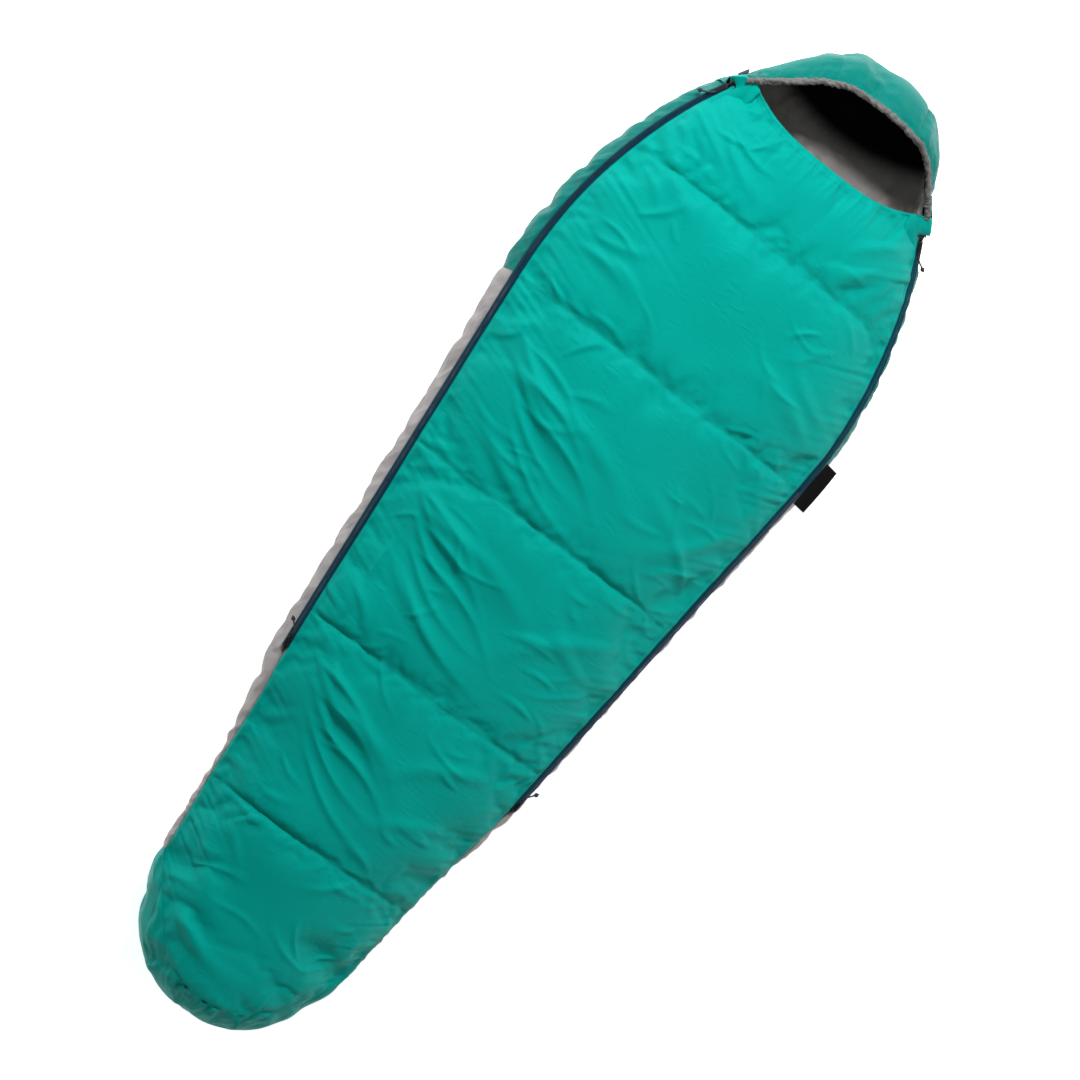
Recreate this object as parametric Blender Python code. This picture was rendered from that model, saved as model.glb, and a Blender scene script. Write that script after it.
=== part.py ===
"""Mummy sleeping bag, lying on its back: head at +Y, zips at both sides, hood open upwards.

The bag is built the way it is sewn: shell, insulation and lining in each panel, two long
two-way zips, a domed foot panel, a three-panel hood with a drawcord hem, draft tubes,
closure tabs and a side tag. Lengths are in metres.
"""
import math

import bmesh
import bpy
import numpy as np
from mathutils import Matrix, Vector

# overall sizes
BAG_LENGTH = 2.05            # foot tip to hood tip
FOOT_Y = -BAG_LENGTH / 2
HOOD_TIP_Y = BAG_LENGTH / 2
CREST_HEIGHT = 0.150         # top of the chest above the floor
FOOT_CREST = 0.134           # top of the foot section
NECK_FALL = 0.010            # how far the chest drops towards the neck
ZIP_HEIGHT = 0.100           # zips above the floor
SIDE_RADII = (0.0610, 0.0605, 0.0565, 0.0600)   # rolled sides: foot, hips, chest, neck
HOOD_HEIGHT = 0.196          # top of the hood before its opening is cut

# layers, outside to inside
SHELL = 0.0010
LINING = 0.0010
FILL = 0.0180                # insulation between the quilt seams
FILL_AT_SEAM = 0.0024
GAP = 0.0003                 # between touching pieces

# zip path: straight up the legs, then one arc round the shoulder
ZIP_BOTTOM_Y = FOOT_Y + 0.615
ZIP_BOTTOM_X = 0.251
ZIP_SLOPE = 0.0911
ZIP_TOP_Y = HOOD_TIP_Y - 0.205
ARC_START_Y = ZIP_TOP_Y - 0.478
ARC_RADIUS = 0.842
FOOT_SLOPE = 0.2024          # side seam below the zip, narrowing to the foot
FOOT_CURVE = 0.143

# panel seams
FOOT_SEAM_Y = FOOT_Y + 0.037          # foot seam at the middle
FOOT_SEAM_SIDE_Y = FOOT_Y + 0.205     # and at the sides
FLAP_SEAM_Y = ARC_START_Y             # quilt seam where the top flap folds
COLOUR_SEAM_Y = ARC_START_Y - 0.007   # grey back panel below, teal above
NECK_EDGE_Y = ZIP_TOP_Y - 0.006
NECK_CORNER_RISE = 0.040
NECK_CORNER_X = 0.187

# zip hardware
COIL_GAP = 0.0014            # between the two rows of teeth
COIL_WIDTH = 0.0019
COIL_THICK = 0.0026
TAPE_THICK = 0.0006
TOP_TAPE_EDGE = 0.0060       # zip centre to the top panel's edge
BACK_TAPE_EDGE = 0.0080      # zip centre to the back panel's edge, along the surface
PLATE_HALF_WIDTH = 0.0042
PLATE_THICK = 0.0008
PLATE_LENGTH = 0.0140
PLATE_CLEARANCE = 0.0006
POST_THICK = 0.0006
STOP_LENGTH = 0.0030
DRAFT_TUBE_RADIUS = 0.0060
PULL_LENGTH = 0.0160
PULL_THICK = 0.0009
PULL_HALF_WIDTH = 0.0026
PULL_CORD_DIAMETER = 0.0022

# hood
HOOD_AXIS_Y = ZIP_TOP_Y + 2 * GAP
HOOD_EQUATOR_Z = 0.066
RIM_ANGLE = 52.0             # degrees above the equator, round the ear-to-ear axis
HOOD_EAR_DEPTH = 0.012
HEM_RADIUS = 0.0050
HEM_WALL = 0.0012
DRAWCORD_RADIUS = 0.0020

# side tag
TAG_LENGTH = 0.092
TAG_WIDTH = 0.031
TAG_THICK = 0.0010
TAG_CENTRE_Y = ARC_START_Y + 0.024

# stations: share of the half section from the middle (0) to the zip edge (1)
FLAT_SHARE = 0.6
CENTRE_PANEL_SHARE = 0.295
BACK_SHARES = (0.0, 0.15, CENTRE_PANEL_SHARE, 0.45, FLAT_SHARE, 0.70, 0.80, 0.90, 1.0)
TOP_SHARES = (0.0, 0.22, 0.44, 0.66, 0.86, 1.0)

for old in list(bpy.data.objects):
    bpy.data.objects.remove(old, do_unlink=True)

PARTS = bpy.data.collections.new("mummy_sleeping_bag")
CUTTERS = bpy.data.collections.new("cutters")
for collection in (PARTS, CUTTERS):
    bpy.context.scene.collection.children.link(collection)


# ---------------------------------------------------------------- materials

def material(name, colour, roughness, metallic=0.0):
    made = bpy.data.materials.new(name)
    made.use_nodes = True
    shader = made.node_tree.nodes["Principled BSDF"]
    shader.inputs["Base Color"].default_value = (*colour, 1.0)
    shader.inputs["Roughness"].default_value = roughness
    shader.inputs["Metallic"].default_value = metallic
    return made


TEAL = material("teal_nylon", (0.0, 0.42, 0.35), 0.45)
GREY = material("grey_nylon", (0.38, 0.36, 0.36), 0.5)
FILLING = material("insulation", (0.85, 0.86, 0.88), 0.9)
LINING_GREY = material("grey_lining", (0.30, 0.28, 0.28), 0.6)
PETROL = material("petrol_zip", (0.01, 0.07, 0.13), 0.6)
GUNMETAL = material("gunmetal", (0.12, 0.10, 0.09), 0.35, 0.9)
BLACK = material("black_trim", (0.01, 0.01, 0.012), 0.7)


# ---------------------------------------------------------------- mesh building

def add_object(name, mesh, finish):
    made = bpy.data.objects.new(name, mesh)
    mesh.materials.append(finish)
    PARTS.objects.link(made)
    return made


def outward(vertices, triangles):
    """Triangles turned so that the closed body's faces point out."""
    corners = np.array(vertices)[np.array(triangles)]
    volume = np.einsum("ij,ij->i", corners[:, 0], np.cross(corners[:, 1], corners[:, 2])).sum()
    if volume < 0:
        return [(a, c, b) for a, b, c in triangles]
    return triangles


def make_body(name, vertices, triangles, finish):
    mesh = bpy.data.meshes.new(name)
    mesh.from_pydata([tuple(v) for v in vertices], [], outward(vertices, triangles))
    mesh.update()
    mesh.shade_smooth()
    mesh.set_sharp_from_angle(angle=math.radians(35))
    return add_object(name, mesh, finish)


def quad(a, b, c, d):
    return [(a, b, c), (a, c, d)]


def layer(name, outer, inner, finish, ring=False):
    """A closed sheet between two grids of points; ring joins the last column to the first."""
    columns, rows = outer.shape[:2]
    vertices = list(outer.reshape(-1, 3)) + list(inner.reshape(-1, 3))
    offset = columns * rows
    triangles = []
    last = columns if ring else columns - 1
    for i in range(last):
        nxt = (i + 1) % columns
        for j in range(rows - 1):
            a, b = i * rows + j, nxt * rows + j
            triangles += quad(a, b, b + 1, a + 1)
            triangles += quad(offset + a, offset + a + 1, offset + b + 1, offset + b)
        for j in (0, rows - 1):
            a, b = i * rows + j, nxt * rows + j
            wall = (a, offset + a, offset + b, b) if j == 0 else (b, offset + b, offset + a, a)
            triangles += quad(*wall)
    if not ring:
        for i in (0, columns - 1):
            for j in range(rows - 1):
                a = i * rows + j
                wall = (a, a + 1, offset + a + 1, offset + a)
                triangles += quad(*(wall if i == 0 else wall[::-1]))
    return make_body(name, vertices, triangles, finish)


def normals(place, columns, rows, facing):
    """Outward unit normals of a surface place(s, row) on a grid, by finite differences.

    facing is 1 where columns and rows turn about the outward side, and -1 under the bag.
    """
    step = 1e-4
    found = np.zeros((len(columns), len(rows(0.0)), 3))
    for i, s in enumerate(columns):
        for j, v in enumerate(rows(s)):
            across = place(s + step, v) - place(s - step, v)
            along = place(s, v + step) - place(s, v - step)
            n = np.cross(across, along)
            found[i, j] = facing * n / np.linalg.norm(n)
    return found


def depths(columns, rows, fill, thin_ends):
    """Thickness of the insulation: thin at the sewn edges, full inside them."""
    deep = np.full((columns, rows), fill)
    for i in range(columns):
        for j in range(rows):
            at_side = thin_ends[0] and i in (0, columns - 1)
            at_end = (thin_ends[1] and j == 0) or (thin_ends[2] and j == rows - 1)
            if at_side or at_end:
                deep[i, j] = FILL_AT_SEAM
    return deep


def three_layers(points, out, deep, names, finishes, ring=False):
    """Shell, insulation and lining under one outer surface; a name of None is left out."""
    deep = deep[:, :, None]
    inner_start = SHELL + GAP
    bounds = [
        (0.0 * deep, 0.0 * deep + SHELL),
        (0.0 * deep + inner_start, deep + inner_start),
        (deep + inner_start + GAP, deep + inner_start + GAP + LINING),
    ]
    for name, finish, (top, bottom) in zip(names, finishes, bounds):
        if name:
            layer(name, points - out * top, points - out * bottom, finish, ring)


def sweep(name, path, sides, ups, profile, finish):
    """A profile of (side, up) points carried along a path of points."""
    rings = [[p + s * a + u * b for a, b in profile] for p, s, u in zip(path, sides, ups)]
    count = len(profile)
    vertices = [v for ring in rings for v in ring]
    triangles = []
    for k in range(len(rings) - 1):
        for i in range(count):
            a, b = k * count + i, k * count + (i + 1) % count
            triangles += quad(a, b, b + count, a + count)
    last = (len(rings) - 1) * count
    for i in range(1, count - 1):
        triangles.append((0, i + 1, i))
        triangles.append((last, last + i, last + i + 1))
    return make_body(name, vertices, triangles, finish)


# ---------------------------------------------------------------- the bag's outer form

ARC_CENTRE_Y = ARC_START_Y + ARC_RADIUS * ZIP_SLOPE / math.hypot(1.0, ZIP_SLOPE)
STRAIGHT_TOP_X = ZIP_BOTTOM_X + ZIP_SLOPE * (ARC_START_Y - ZIP_BOTTOM_Y)
ARC_CENTRE_X = STRAIGHT_TOP_X - ARC_RADIUS / math.hypot(1.0, ZIP_SLOPE)


def seam_x(y):
    """Half-width between the side seams: foot curve, straight zip, shoulder arc."""
    if y < ZIP_BOTTOM_Y:
        d = max(y, FOOT_SEAM_SIDE_Y) - ZIP_BOTTOM_Y
        return ZIP_BOTTOM_X + FOOT_SLOPE * d + FOOT_CURVE * d * d
    if y < ARC_START_Y:
        return ZIP_BOTTOM_X + ZIP_SLOPE * (y - ZIP_BOTTOM_Y)
    rise = min(y, ZIP_TOP_Y) - ARC_CENTRE_Y
    return ARC_CENTRE_X + math.sqrt(ARC_RADIUS ** 2 - rise ** 2)


def side_radius(y):
    """Radius of the rolled side under the seam, smaller at the chest where it bulges more."""
    places = (FOOT_SEAM_SIDE_Y, (ZIP_BOTTOM_Y + ZIP_TOP_Y) / 2 - 0.2, ARC_START_Y + 0.108, ZIP_TOP_Y)
    return float(np.interp(y, places, SIDE_RADII))


def crest(y):
    """Height of the top panel's middle."""
    shin_y = FOOT_SEAM_SIDE_Y + 0.12
    rise = min(max((y - shin_y) / (ARC_START_Y + 0.008 - shin_y), 0.0), 1.0)
    share = 0.5 - 0.5 * math.cos(math.pi * rise)
    fall = NECK_FALL * max(0.0, (y - ZIP_TOP_Y + 0.32) / 0.32) ** 2
    return FOOT_CREST + (CREST_HEIGHT - FOOT_CREST) * share - fall


def edge_gap(y, at_zip):
    """Panel edge to side seam: wide along the zip, closed below it."""
    share = min(max((y - ZIP_BOTTOM_Y + 0.012) / 0.010, 0.0), 1.0)
    return GAP / 2 + (at_zip - GAP / 2) * share


def top_place(s, y):
    """Outer surface of the top panels, s from -1 to 1 across."""
    half = seam_x(y)
    x = s * (half - edge_gap(y, TOP_TAPE_EDGE))
    z = ZIP_HEIGHT + (crest(y) - ZIP_HEIGHT) * (1 - abs(x / half) ** 2.6)
    return np.array((x, y, z))


def back_place(s, y):
    """Outer surface of the back: flat on the floor, then rolled up to the side seam."""
    radius = side_radius(y)
    half = seam_x(y)
    seam_angle = math.asin((ZIP_HEIGHT - radius) / radius)
    centre = half - radius * math.cos(seam_angle)
    a = abs(s)
    side = math.copysign(1.0, s)
    if a <= FLAT_SHARE:
        return np.array((side * centre * a / FLAT_SHARE, y, 0.0))
    edge_angle = seam_angle - edge_gap(y, BACK_TAPE_EDGE) / radius
    angle = -math.pi / 2 + (edge_angle + math.pi / 2) * (a - FLAT_SHARE) / (1 - FLAT_SHARE)
    return np.array((side * (centre + radius * math.cos(angle)), y, radius + radius * math.sin(angle)))


def panel_normals(place, columns, rows, facing):
    """Normals of a top or back panel; at the side seams both panels share the mitred one."""
    found = normals(place, columns, rows, facing)
    for i in (0, len(columns) - 1):
        s = columns[i]
        shared = normals(top_place, [s], rows, 1)[0] + normals(back_place, [s], rows, -1)[0]
        found[i] = shared / np.linalg.norm(shared, axis=1)[:, None]
    return found


def foot_seam(share):
    """Y of the foot seam at a share of the half width."""
    return FOOT_SEAM_Y + (FOOT_SEAM_SIDE_Y - FOOT_SEAM_Y) * min(1.0, abs(share)) ** 2.2


def top_foot_y(s):
    return foot_seam(s)


def back_foot_y(s):
    return foot_seam(back_place(s, FOOT_SEAM_SIDE_Y)[0] / seam_x(FOOT_SEAM_SIDE_Y))


def mirrored(shares):
    return [-a for a in shares[:0:-1]] + list(shares)


BACK_COLUMNS = mirrored(BACK_SHARES)
TOP_COLUMNS = mirrored(TOP_SHARES)
SEWN_EDGE = 0.030            # width over which the insulation thins to a seam
FOOT_GAP = 0.0012            # along the bag, as the foot seam runs slanted at the sides


def between(start, end, shares):
    return [start + (end - start) * share for share in shares]


def foot_rows(start):
    first = start + FOOT_GAP
    ankle, shin = between(FOOT_SEAM_SIDE_Y, ZIP_BOTTOM_Y, (0.3, 0.65))
    return [first, first + SEWN_EDGE, (first + SEWN_EDGE + ankle) / 2, ankle, shin]


def neck_edge_y(s):
    """The top panel's neck edge: rises to the corners, then falls to the zip ends."""
    x = abs(s) * (seam_x(ZIP_TOP_Y) - TOP_TAPE_EDGE)
    rise = NECK_CORNER_RISE * min(1.0, x / NECK_CORNER_X) ** 3
    end = seam_x(ZIP_TOP_Y) - TOP_TAPE_EDGE
    fall = max(0.0, (x - NECK_CORNER_X) / (end - NECK_CORNER_X))
    return NECK_EDGE_Y + rise * (1 - fall) + (ZIP_TOP_Y - NECK_EDGE_Y) * fall


# ---------------------------------------------------------------- back panel

def sheet_grid(place, columns, rows):
    return np.array([[place(s, y) for y in rows(s)] for s in columns])


THIGH_SHARES = (0.2, 0.4, 0.6, 0.8)
CHEST_SHARES = (0.22, 0.45, 0.66, 0.84)


def back_rows(s):
    leg = foot_rows(back_foot_y(s))
    thigh = between(ZIP_BOTTOM_Y, ARC_START_Y, THIGH_SHARES)
    chest = between(ARC_START_Y, ZIP_TOP_Y, CHEST_SHARES)
    zip_end = [ZIP_BOTTOM_Y - 0.012, ZIP_BOTTOM_Y]
    colour_change = [COLOUR_SEAM_Y - GAP / 2, COLOUR_SEAM_Y + GAP / 2]
    return leg + zip_end + thigh + colour_change + chest + [ZIP_TOP_Y - SEWN_EDGE, ZIP_TOP_Y]


back_points = sheet_grid(back_place, BACK_COLUMNS, back_rows)
back_out = panel_normals(back_place, BACK_COLUMNS, back_rows, -1)
back_deep = depths(len(BACK_COLUMNS), back_points.shape[1], FILL, (True, True, True))
three_layers(back_points, back_out, back_deep, (None, "back_insulation", "back_lining"),
             (None, FILLING, LINING_GREY))
colour_row = back_rows(0.0).index(COLOUR_SEAM_Y - GAP / 2)
for name, finish, part in (("back_shell_grey", GREY, slice(0, colour_row + 1)),
                           ("back_shell_teal", TEAL, slice(colour_row + 1, None))):
    skin = back_points[:, part]
    layer(name, skin, skin - back_out[:, part] * SHELL, finish)


# ---------------------------------------------------------------- top panels

def leg_rows(s):
    leg = foot_rows(top_foot_y(s))
    thigh = between(ZIP_BOTTOM_Y, ARC_START_Y, THIGH_SHARES)
    return leg + [ZIP_BOTTOM_Y - 0.012, ZIP_BOTTOM_Y] + thigh + [FLAP_SEAM_Y - SEWN_EDGE, FLAP_SEAM_Y - GAP]


def flap_rows(s):
    end = neck_edge_y(s)
    chest = between(ARC_START_Y, ZIP_TOP_Y, CHEST_SHARES)
    return [FLAP_SEAM_Y + GAP, FLAP_SEAM_Y + SEWN_EDGE] + chest + [end - SEWN_EDGE, end]


for prefix, rows in (("top_legs", leg_rows), ("flap", flap_rows)):
    points = sheet_grid(top_place, TOP_COLUMNS, rows)
    out = panel_normals(top_place, TOP_COLUMNS, rows, 1)
    deep = depths(len(TOP_COLUMNS), points.shape[1], FILL, (True, True, True))
    three_layers(points, out, deep, [prefix + end for end in ("_shell", "_insulation", "_lining")],
                 (TEAL, FILLING, LINING_GREY))


# ---------------------------------------------------------------- foot panel

FOOT_MIDDLE_Z = 0.066
FOOT_TURNS = (0.0, 12.0, 28.0, 45.0, 62.0, 78.0)     # degrees from the seam to the foot tip


def foot_ring():
    """The foot seam as one loop: under the bag, then back over it."""
    under = [back_place(s, back_foot_y(s)) for s in BACK_COLUMNS]
    over = [top_place(s, top_foot_y(s)) for s in TOP_COLUMNS[::-1]]
    return under + over


def foot_place(point, turn):
    x, y, z = point
    shrink = math.cos(turn)
    return np.array((x * shrink, y - (y - FOOT_Y) * math.sin(turn),
                     FOOT_MIDDLE_Z + (z - FOOT_MIDDLE_Z) * shrink))


def dome(name, rings, tip_outer, tip_inner, finish):
    """A closed cup from an outer and an inner set of rings, each ending in one tip point."""
    outer, inner = rings
    count, rows = outer.shape[:2]
    vertices = list(outer.reshape(-1, 3)) + list(inner.reshape(-1, 3)) + [tip_outer, tip_inner]
    offset = count * rows
    triangles = []
    for i in range(count):
        nxt = (i + 1) % count
        for j in range(rows - 1):
            a, b = i * rows + j, nxt * rows + j
            triangles += quad(a, a + 1, b + 1, b)
            triangles += quad(offset + a, offset + b, offset + b + 1, offset + a + 1)
        a, b = i * rows, nxt * rows
        triangles += quad(a, b, offset + b, offset + a)
        end_a, end_b = i * rows + rows - 1, nxt * rows + rows - 1
        triangles.append((end_a, 2 * offset, end_b))
        triangles.append((offset + end_a, offset + end_b, 2 * offset + 1))
    return make_body(name, vertices, triangles, finish)


ring = foot_ring()
turns = [math.radians(t) for t in FOOT_TURNS]
foot_points = np.array([[foot_place(p, t) for t in turns] for p in ring])
around = np.roll(foot_points, -1, axis=0) - np.roll(foot_points, 1, axis=0)
along = np.array([[foot_place(p, t + 1e-3) - foot_place(p, t - 1e-3) for t in turns] for p in ring])
foot_out = np.cross(around, along)
foot_out /= np.linalg.norm(foot_out, axis=2)[:, :, None]
under_out = panel_normals(back_place, BACK_COLUMNS, lambda s: [back_foot_y(s)], -1)[:, 0]
over_out = panel_normals(top_place, TOP_COLUMNS, lambda s: [top_foot_y(s)], 1)[::-1, 0]
foot_out[:, 0] = np.concatenate((under_out, over_out))
foot_deep = np.full(foot_points.shape[:2], FILL)
foot_deep[:, 0] = FILL_AT_SEAM
foot_bounds = (
    ("foot_panel", TEAL, 0.0 * foot_deep, 0.0 * foot_deep + SHELL),
    ("foot_insulation", FILLING, 0.0 * foot_deep + SHELL + GAP, foot_deep + SHELL + GAP),
    ("foot_lining", LINING_GREY, foot_deep + SHELL + 2 * GAP, foot_deep + SHELL + 2 * GAP + LINING),
)
for name, finish, top, bottom in foot_bounds:
    rings = (foot_points - foot_out * top[:, :, None], foot_points - foot_out * bottom[:, :, None])
    tips = [np.array((0.0, FOOT_Y + d[0, -1], FOOT_MIDDLE_Z)) for d in (top, bottom)]
    dome(name, rings, tips[0], tips[1], finish)


# ---------------------------------------------------------------- hood

HOOD_ARCS = (-90.0, -74.0, -50.0, -28.0, -6.0, 16.0, 34.0)
EAR_X = back_place(1.0, ZIP_TOP_Y)[0]
EAR_Z = back_place(1.0, ZIP_TOP_Y)[2]
HOOD_REACH = HOOD_TIP_Y - HOOD_AXIS_Y - HOOD_EAR_DEPTH


def hood_place(s, turn):
    """Outer surface of the hood: turn runs from -90 degrees under the neck over the tip."""
    base = back_place(s, ZIP_TOP_Y)
    flat_end = back_place(FLAT_SHARE, ZIP_TOP_Y)[0]
    a = min(abs(s), 1.0)
    side = math.copysign(1.0, s)
    x = base[0]
    if a > FLAT_SHARE:
        x = side * (flat_end + (EAR_X - flat_end) * (a - FLAT_SHARE) / (1 - FLAT_SHARE))
    share = abs(x) / EAR_X
    reach = HOOD_EAR_DEPTH + HOOD_REACH * (1 - share ** 2.2)
    middle = HOOD_EQUATOR_Z + (EAR_Z - HOOD_EQUATOR_Z) * share ** 4
    y = HOOD_AXIS_Y + reach * math.cos(turn)
    if turn <= 0:
        x = base[0] + (x - base[0]) * math.cos(turn)
        z = middle + (base[2] - middle) * -math.sin(turn)
    else:
        rise = HOOD_EAR_DEPTH + (HOOD_HEIGHT - HOOD_EQUATOR_Z - HOOD_EAR_DEPTH) * (1 - share ** 2.4)
        z = middle + rise * math.sin(turn)
    return np.array((x, y, z))


def rim_turn(s):
    """Turn at which the panels stop, clear of the hem's tube."""
    rim, step = math.radians(RIM_ANGLE), math.radians(5)
    span = np.linalg.norm(hood_place(s, rim) - hood_place(s, rim - step))
    return rim - step * (HEM_RADIUS * 1.15 + 3 * GAP) / span


def hood_rows(s):
    return [math.radians(t) for t in HOOD_ARCS] + [rim_turn(s)]


def hood_normals(columns):
    """The hood's normals, which start as the back panel's so that the layers meet."""
    found = normals(hood_place, columns, hood_rows, -1)
    neck = normals(back_place, columns, lambda s: [ZIP_TOP_Y], -1)[:, 0]
    ears = panel_normals(back_place, columns, lambda s: [ZIP_TOP_Y], -1)[:, 0]
    for i, s in enumerate(columns):
        found[i, 0] = neck[i] if abs(s) < 1 else ears[i]
    return found


hood_points = sheet_grid(hood_place, BACK_COLUMNS, hood_rows)
hood_out = hood_normals(BACK_COLUMNS)
hood_deep = depths(len(BACK_COLUMNS), hood_points.shape[1], FILL, (True, True, True))
three_layers(hood_points, hood_out, hood_deep, (None, "hood_insulation", "hood_lining"),
             (None, FILLING, LINING_GREY))


def hood_panel(name, columns):
    points = sheet_grid(hood_place, columns, hood_rows)
    layer(name, points, points - hood_normals(columns) * SHELL, TEAL)


SEAM_SHARE = 0.0006          # half the gap between hood panels, as a share of the width
side_shares = [a for a in BACK_SHARES if a > CENTRE_PANEL_SHARE]
middle_shares = [a for a in BACK_SHARES if a < CENTRE_PANEL_SHARE]
hood_panel("hood_centre_panel", mirrored(middle_shares + [CENTRE_PANEL_SHARE - SEAM_SHARE]))
hood_panel("hood_side_panel_right", [CENTRE_PANEL_SHARE + SEAM_SHARE] + side_shares)
hood_panel("hood_side_panel_left", [-a for a in side_shares[::-1]] + [-CENTRE_PANEL_SHARE - SEAM_SHARE])

HEM_END = 0.80
hem_shares = [HEM_END * k / 10 for k in range(-10, 11)]
hem_path = [hood_place(s, math.radians(RIM_ANGLE)) for s in hem_shares]


def frames(path):
    """Side and up directions square to a path."""
    sides, ups = [], []
    for k in range(len(path)):
        ahead = path[min(k + 1, len(path) - 1)] - path[max(k - 1, 0)]
        ahead = ahead / np.linalg.norm(ahead)
        side = np.cross(ahead, (0.0, 0.0, 1.0))
        side /= np.linalg.norm(side)
        sides.append(side)
        ups.append(np.cross(side, ahead))
    return sides, ups


def circle(radius, count):
    turns = [2 * math.pi * k / count for k in range(count)]
    return [(radius * math.cos(t), radius * math.sin(t)) for t in turns]


hem_sides, hem_ups = frames(hem_path)


def tube_points(radius, count):
    return np.array([[p + s * a + u * b for p, s, u in zip(hem_path, hem_sides, hem_ups)]
                     for a, b in circle(radius, count)])


layer("hood_hem", tube_points(HEM_RADIUS, 8), tube_points(HEM_RADIUS - HEM_WALL, 8), TEAL, ring=True)
sweep("hood_drawcord", hem_path, hem_sides, hem_ups, circle(DRAWCORD_RADIUS, 6), BLACK)


# ---------------------------------------------------------------- zips

COIL_INNER = COIL_GAP / 2
COIL_OUTER = COIL_INNER + COIL_WIDTH
TAPE_START = COIL_OUTER + GAP
ZIP_STRAIGHT_STEPS = 5
ZIP_ARC_STEPS = 16


def zip_frame(y, side):
    """Zip centre, outward direction and direction to the head, for one side."""
    slope = ZIP_SLOPE if y < ARC_START_Y else (ARC_CENTRE_Y - y) / (seam_x(y) - ARC_CENTRE_X)
    ahead = np.array((side * slope, 1.0, 0.0)) / math.hypot(1.0, slope)
    out = side * np.array((ahead[1], -ahead[0], 0.0))
    return np.array((side * seam_x(y), y, ZIP_HEIGHT)), out, ahead


def zip_stations(start, end):
    """Stations close enough on the arc that a slider can follow it."""
    straight = np.linspace(ZIP_BOTTOM_Y, ARC_START_Y, ZIP_STRAIGHT_STEPS + 1)
    arc = np.linspace(ARC_START_Y, ZIP_TOP_Y, ZIP_ARC_STEPS + 1)[1:]
    inside = [y for y in list(straight) + list(arc) if start + 1e-4 < y < end - 1e-4]
    return [start] + inside + [end]


def zip_strip(name, side, start, end, profile, finish):
    found = [zip_frame(y, side) for y in zip_stations(start, end)]
    up = np.array((0.0, 0.0, 1.0))
    return sweep(name, [f[0] for f in found], [f[1] for f in found], [up] * len(found), profile, finish)


def coil_profile(sign):
    near, far, half = sign * COIL_INNER, sign * COIL_OUTER, COIL_THICK / 2
    return [(near, -half), (far, -half), (far, half), (near, half)]


half_tape = TAPE_THICK / 2
TOP_TAPE = [(-TAPE_START, half_tape), (-TOP_TAPE_EDGE + 0.0004, half_tape),
            (-TOP_TAPE_EDGE + 0.0004, -half_tape), (-TAPE_START, -half_tape)]
TAPE_DROP = 0.0052           # where the back tape turns down to the back panel
BACK_TAPE = [(TAPE_START, half_tape), (TAPE_DROP + half_tape, -0.0004), (TAPE_DROP + half_tape, -0.0046),
             (TAPE_DROP - half_tape, -0.0046), (TAPE_DROP - half_tape, -0.0010), (TAPE_START, -half_tape)]
SPANS = (("back", 1, ZIP_BOTTOM_Y, ZIP_TOP_Y), ("legs", -1, ZIP_BOTTOM_Y, FLAP_SEAM_Y - GAP),
         ("flap", -1, FLAP_SEAM_Y + GAP, ZIP_TOP_Y - 2 * GAP))
SIDES = (("left", -1), ("right", 1))
DRAFT_TUBE_OFFSET = (-0.012, -0.0145)

for label, side in SIDES:
    for part, sign, start, end in SPANS:
        zip_strip(f"zip_coil_{part}_{label}", side, start, end, coil_profile(sign), PETROL)
        tape = BACK_TAPE if part == "back" else TOP_TAPE
        zip_strip(f"zip_tape_{part}_{label}", side, start, end, tape, PETROL)
    both = [(-COIL_OUTER, -COIL_THICK / 2), (COIL_OUTER, -COIL_THICK / 2),
            (COIL_OUTER, COIL_THICK / 2), (-COIL_OUTER, COIL_THICK / 2)]
    zip_strip(f"zip_bottom_stop_{label}", side, ZIP_BOTTOM_Y - GAP - STOP_LENGTH, ZIP_BOTTOM_Y - GAP,
              both, GUNMETAL)
    zip_strip(f"zip_top_stop_{label}", side, ZIP_TOP_Y + GAP, ZIP_TOP_Y + GAP + STOP_LENGTH,
              coil_profile(1), GUNMETAL)
    tube = [(a + DRAFT_TUBE_OFFSET[0], b + DRAFT_TUBE_OFFSET[1]) for a, b in circle(DRAFT_TUBE_RADIUS, 8)]
    zip_strip(f"draft_tube_{label}", side, ZIP_BOTTOM_Y + SEWN_EDGE, ZIP_TOP_Y - SEWN_EDGE,
              tube, LINING_GREY)


# ---------------------------------------------------------------- sliders and pulls

PLATE_Z = COIL_THICK / 2 + PLATE_CLEARANCE
BRIDGE_LENGTH = 0.0064
BRIDGE_BAR = 0.0010
BRIDGE_WIDTH = 0.0012
BRIDGE_ROOM = 0.0016         # height of the hole that holds the pull
PIVOT_Z = PLATE_Z + PLATE_THICK + BRIDGE_ROOM / 2
SLOT_END = 0.0044
CORD_HOLE_Y = 0.0130
CORD_HOLE_HALF = 0.0015
SLIDER_TRAVEL_END = 0.0010   # slider to stop, and slider to slider


def box_mesh(name, low, high):
    mesh = bpy.data.meshes.new(name)
    made = bmesh.new()
    bmesh.ops.create_cube(made, size=1.0)
    size = Vector(high) - Vector(low)
    middle = (Vector(high) + Vector(low)) / 2
    matrix = Matrix.Translation(middle) @ Matrix.Diagonal((*size, 1.0))
    bmesh.ops.transform(made, matrix=matrix, verts=made.verts)
    made.to_mesh(mesh)
    made.free()
    return mesh


def cutter(name, low, high, parent):
    made = bpy.data.objects.new(name, box_mesh(name, low, high))
    made.hide_render = True
    made.display_type = "WIRE"
    made.parent = parent
    CUTTERS.objects.link(made)
    return made


def boolean(target, tool, operation):
    step = target.modifiers.new(tool.name, "BOOLEAN")
    step.operation = operation
    step.solver = "EXACT"
    step.object = tool


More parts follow.
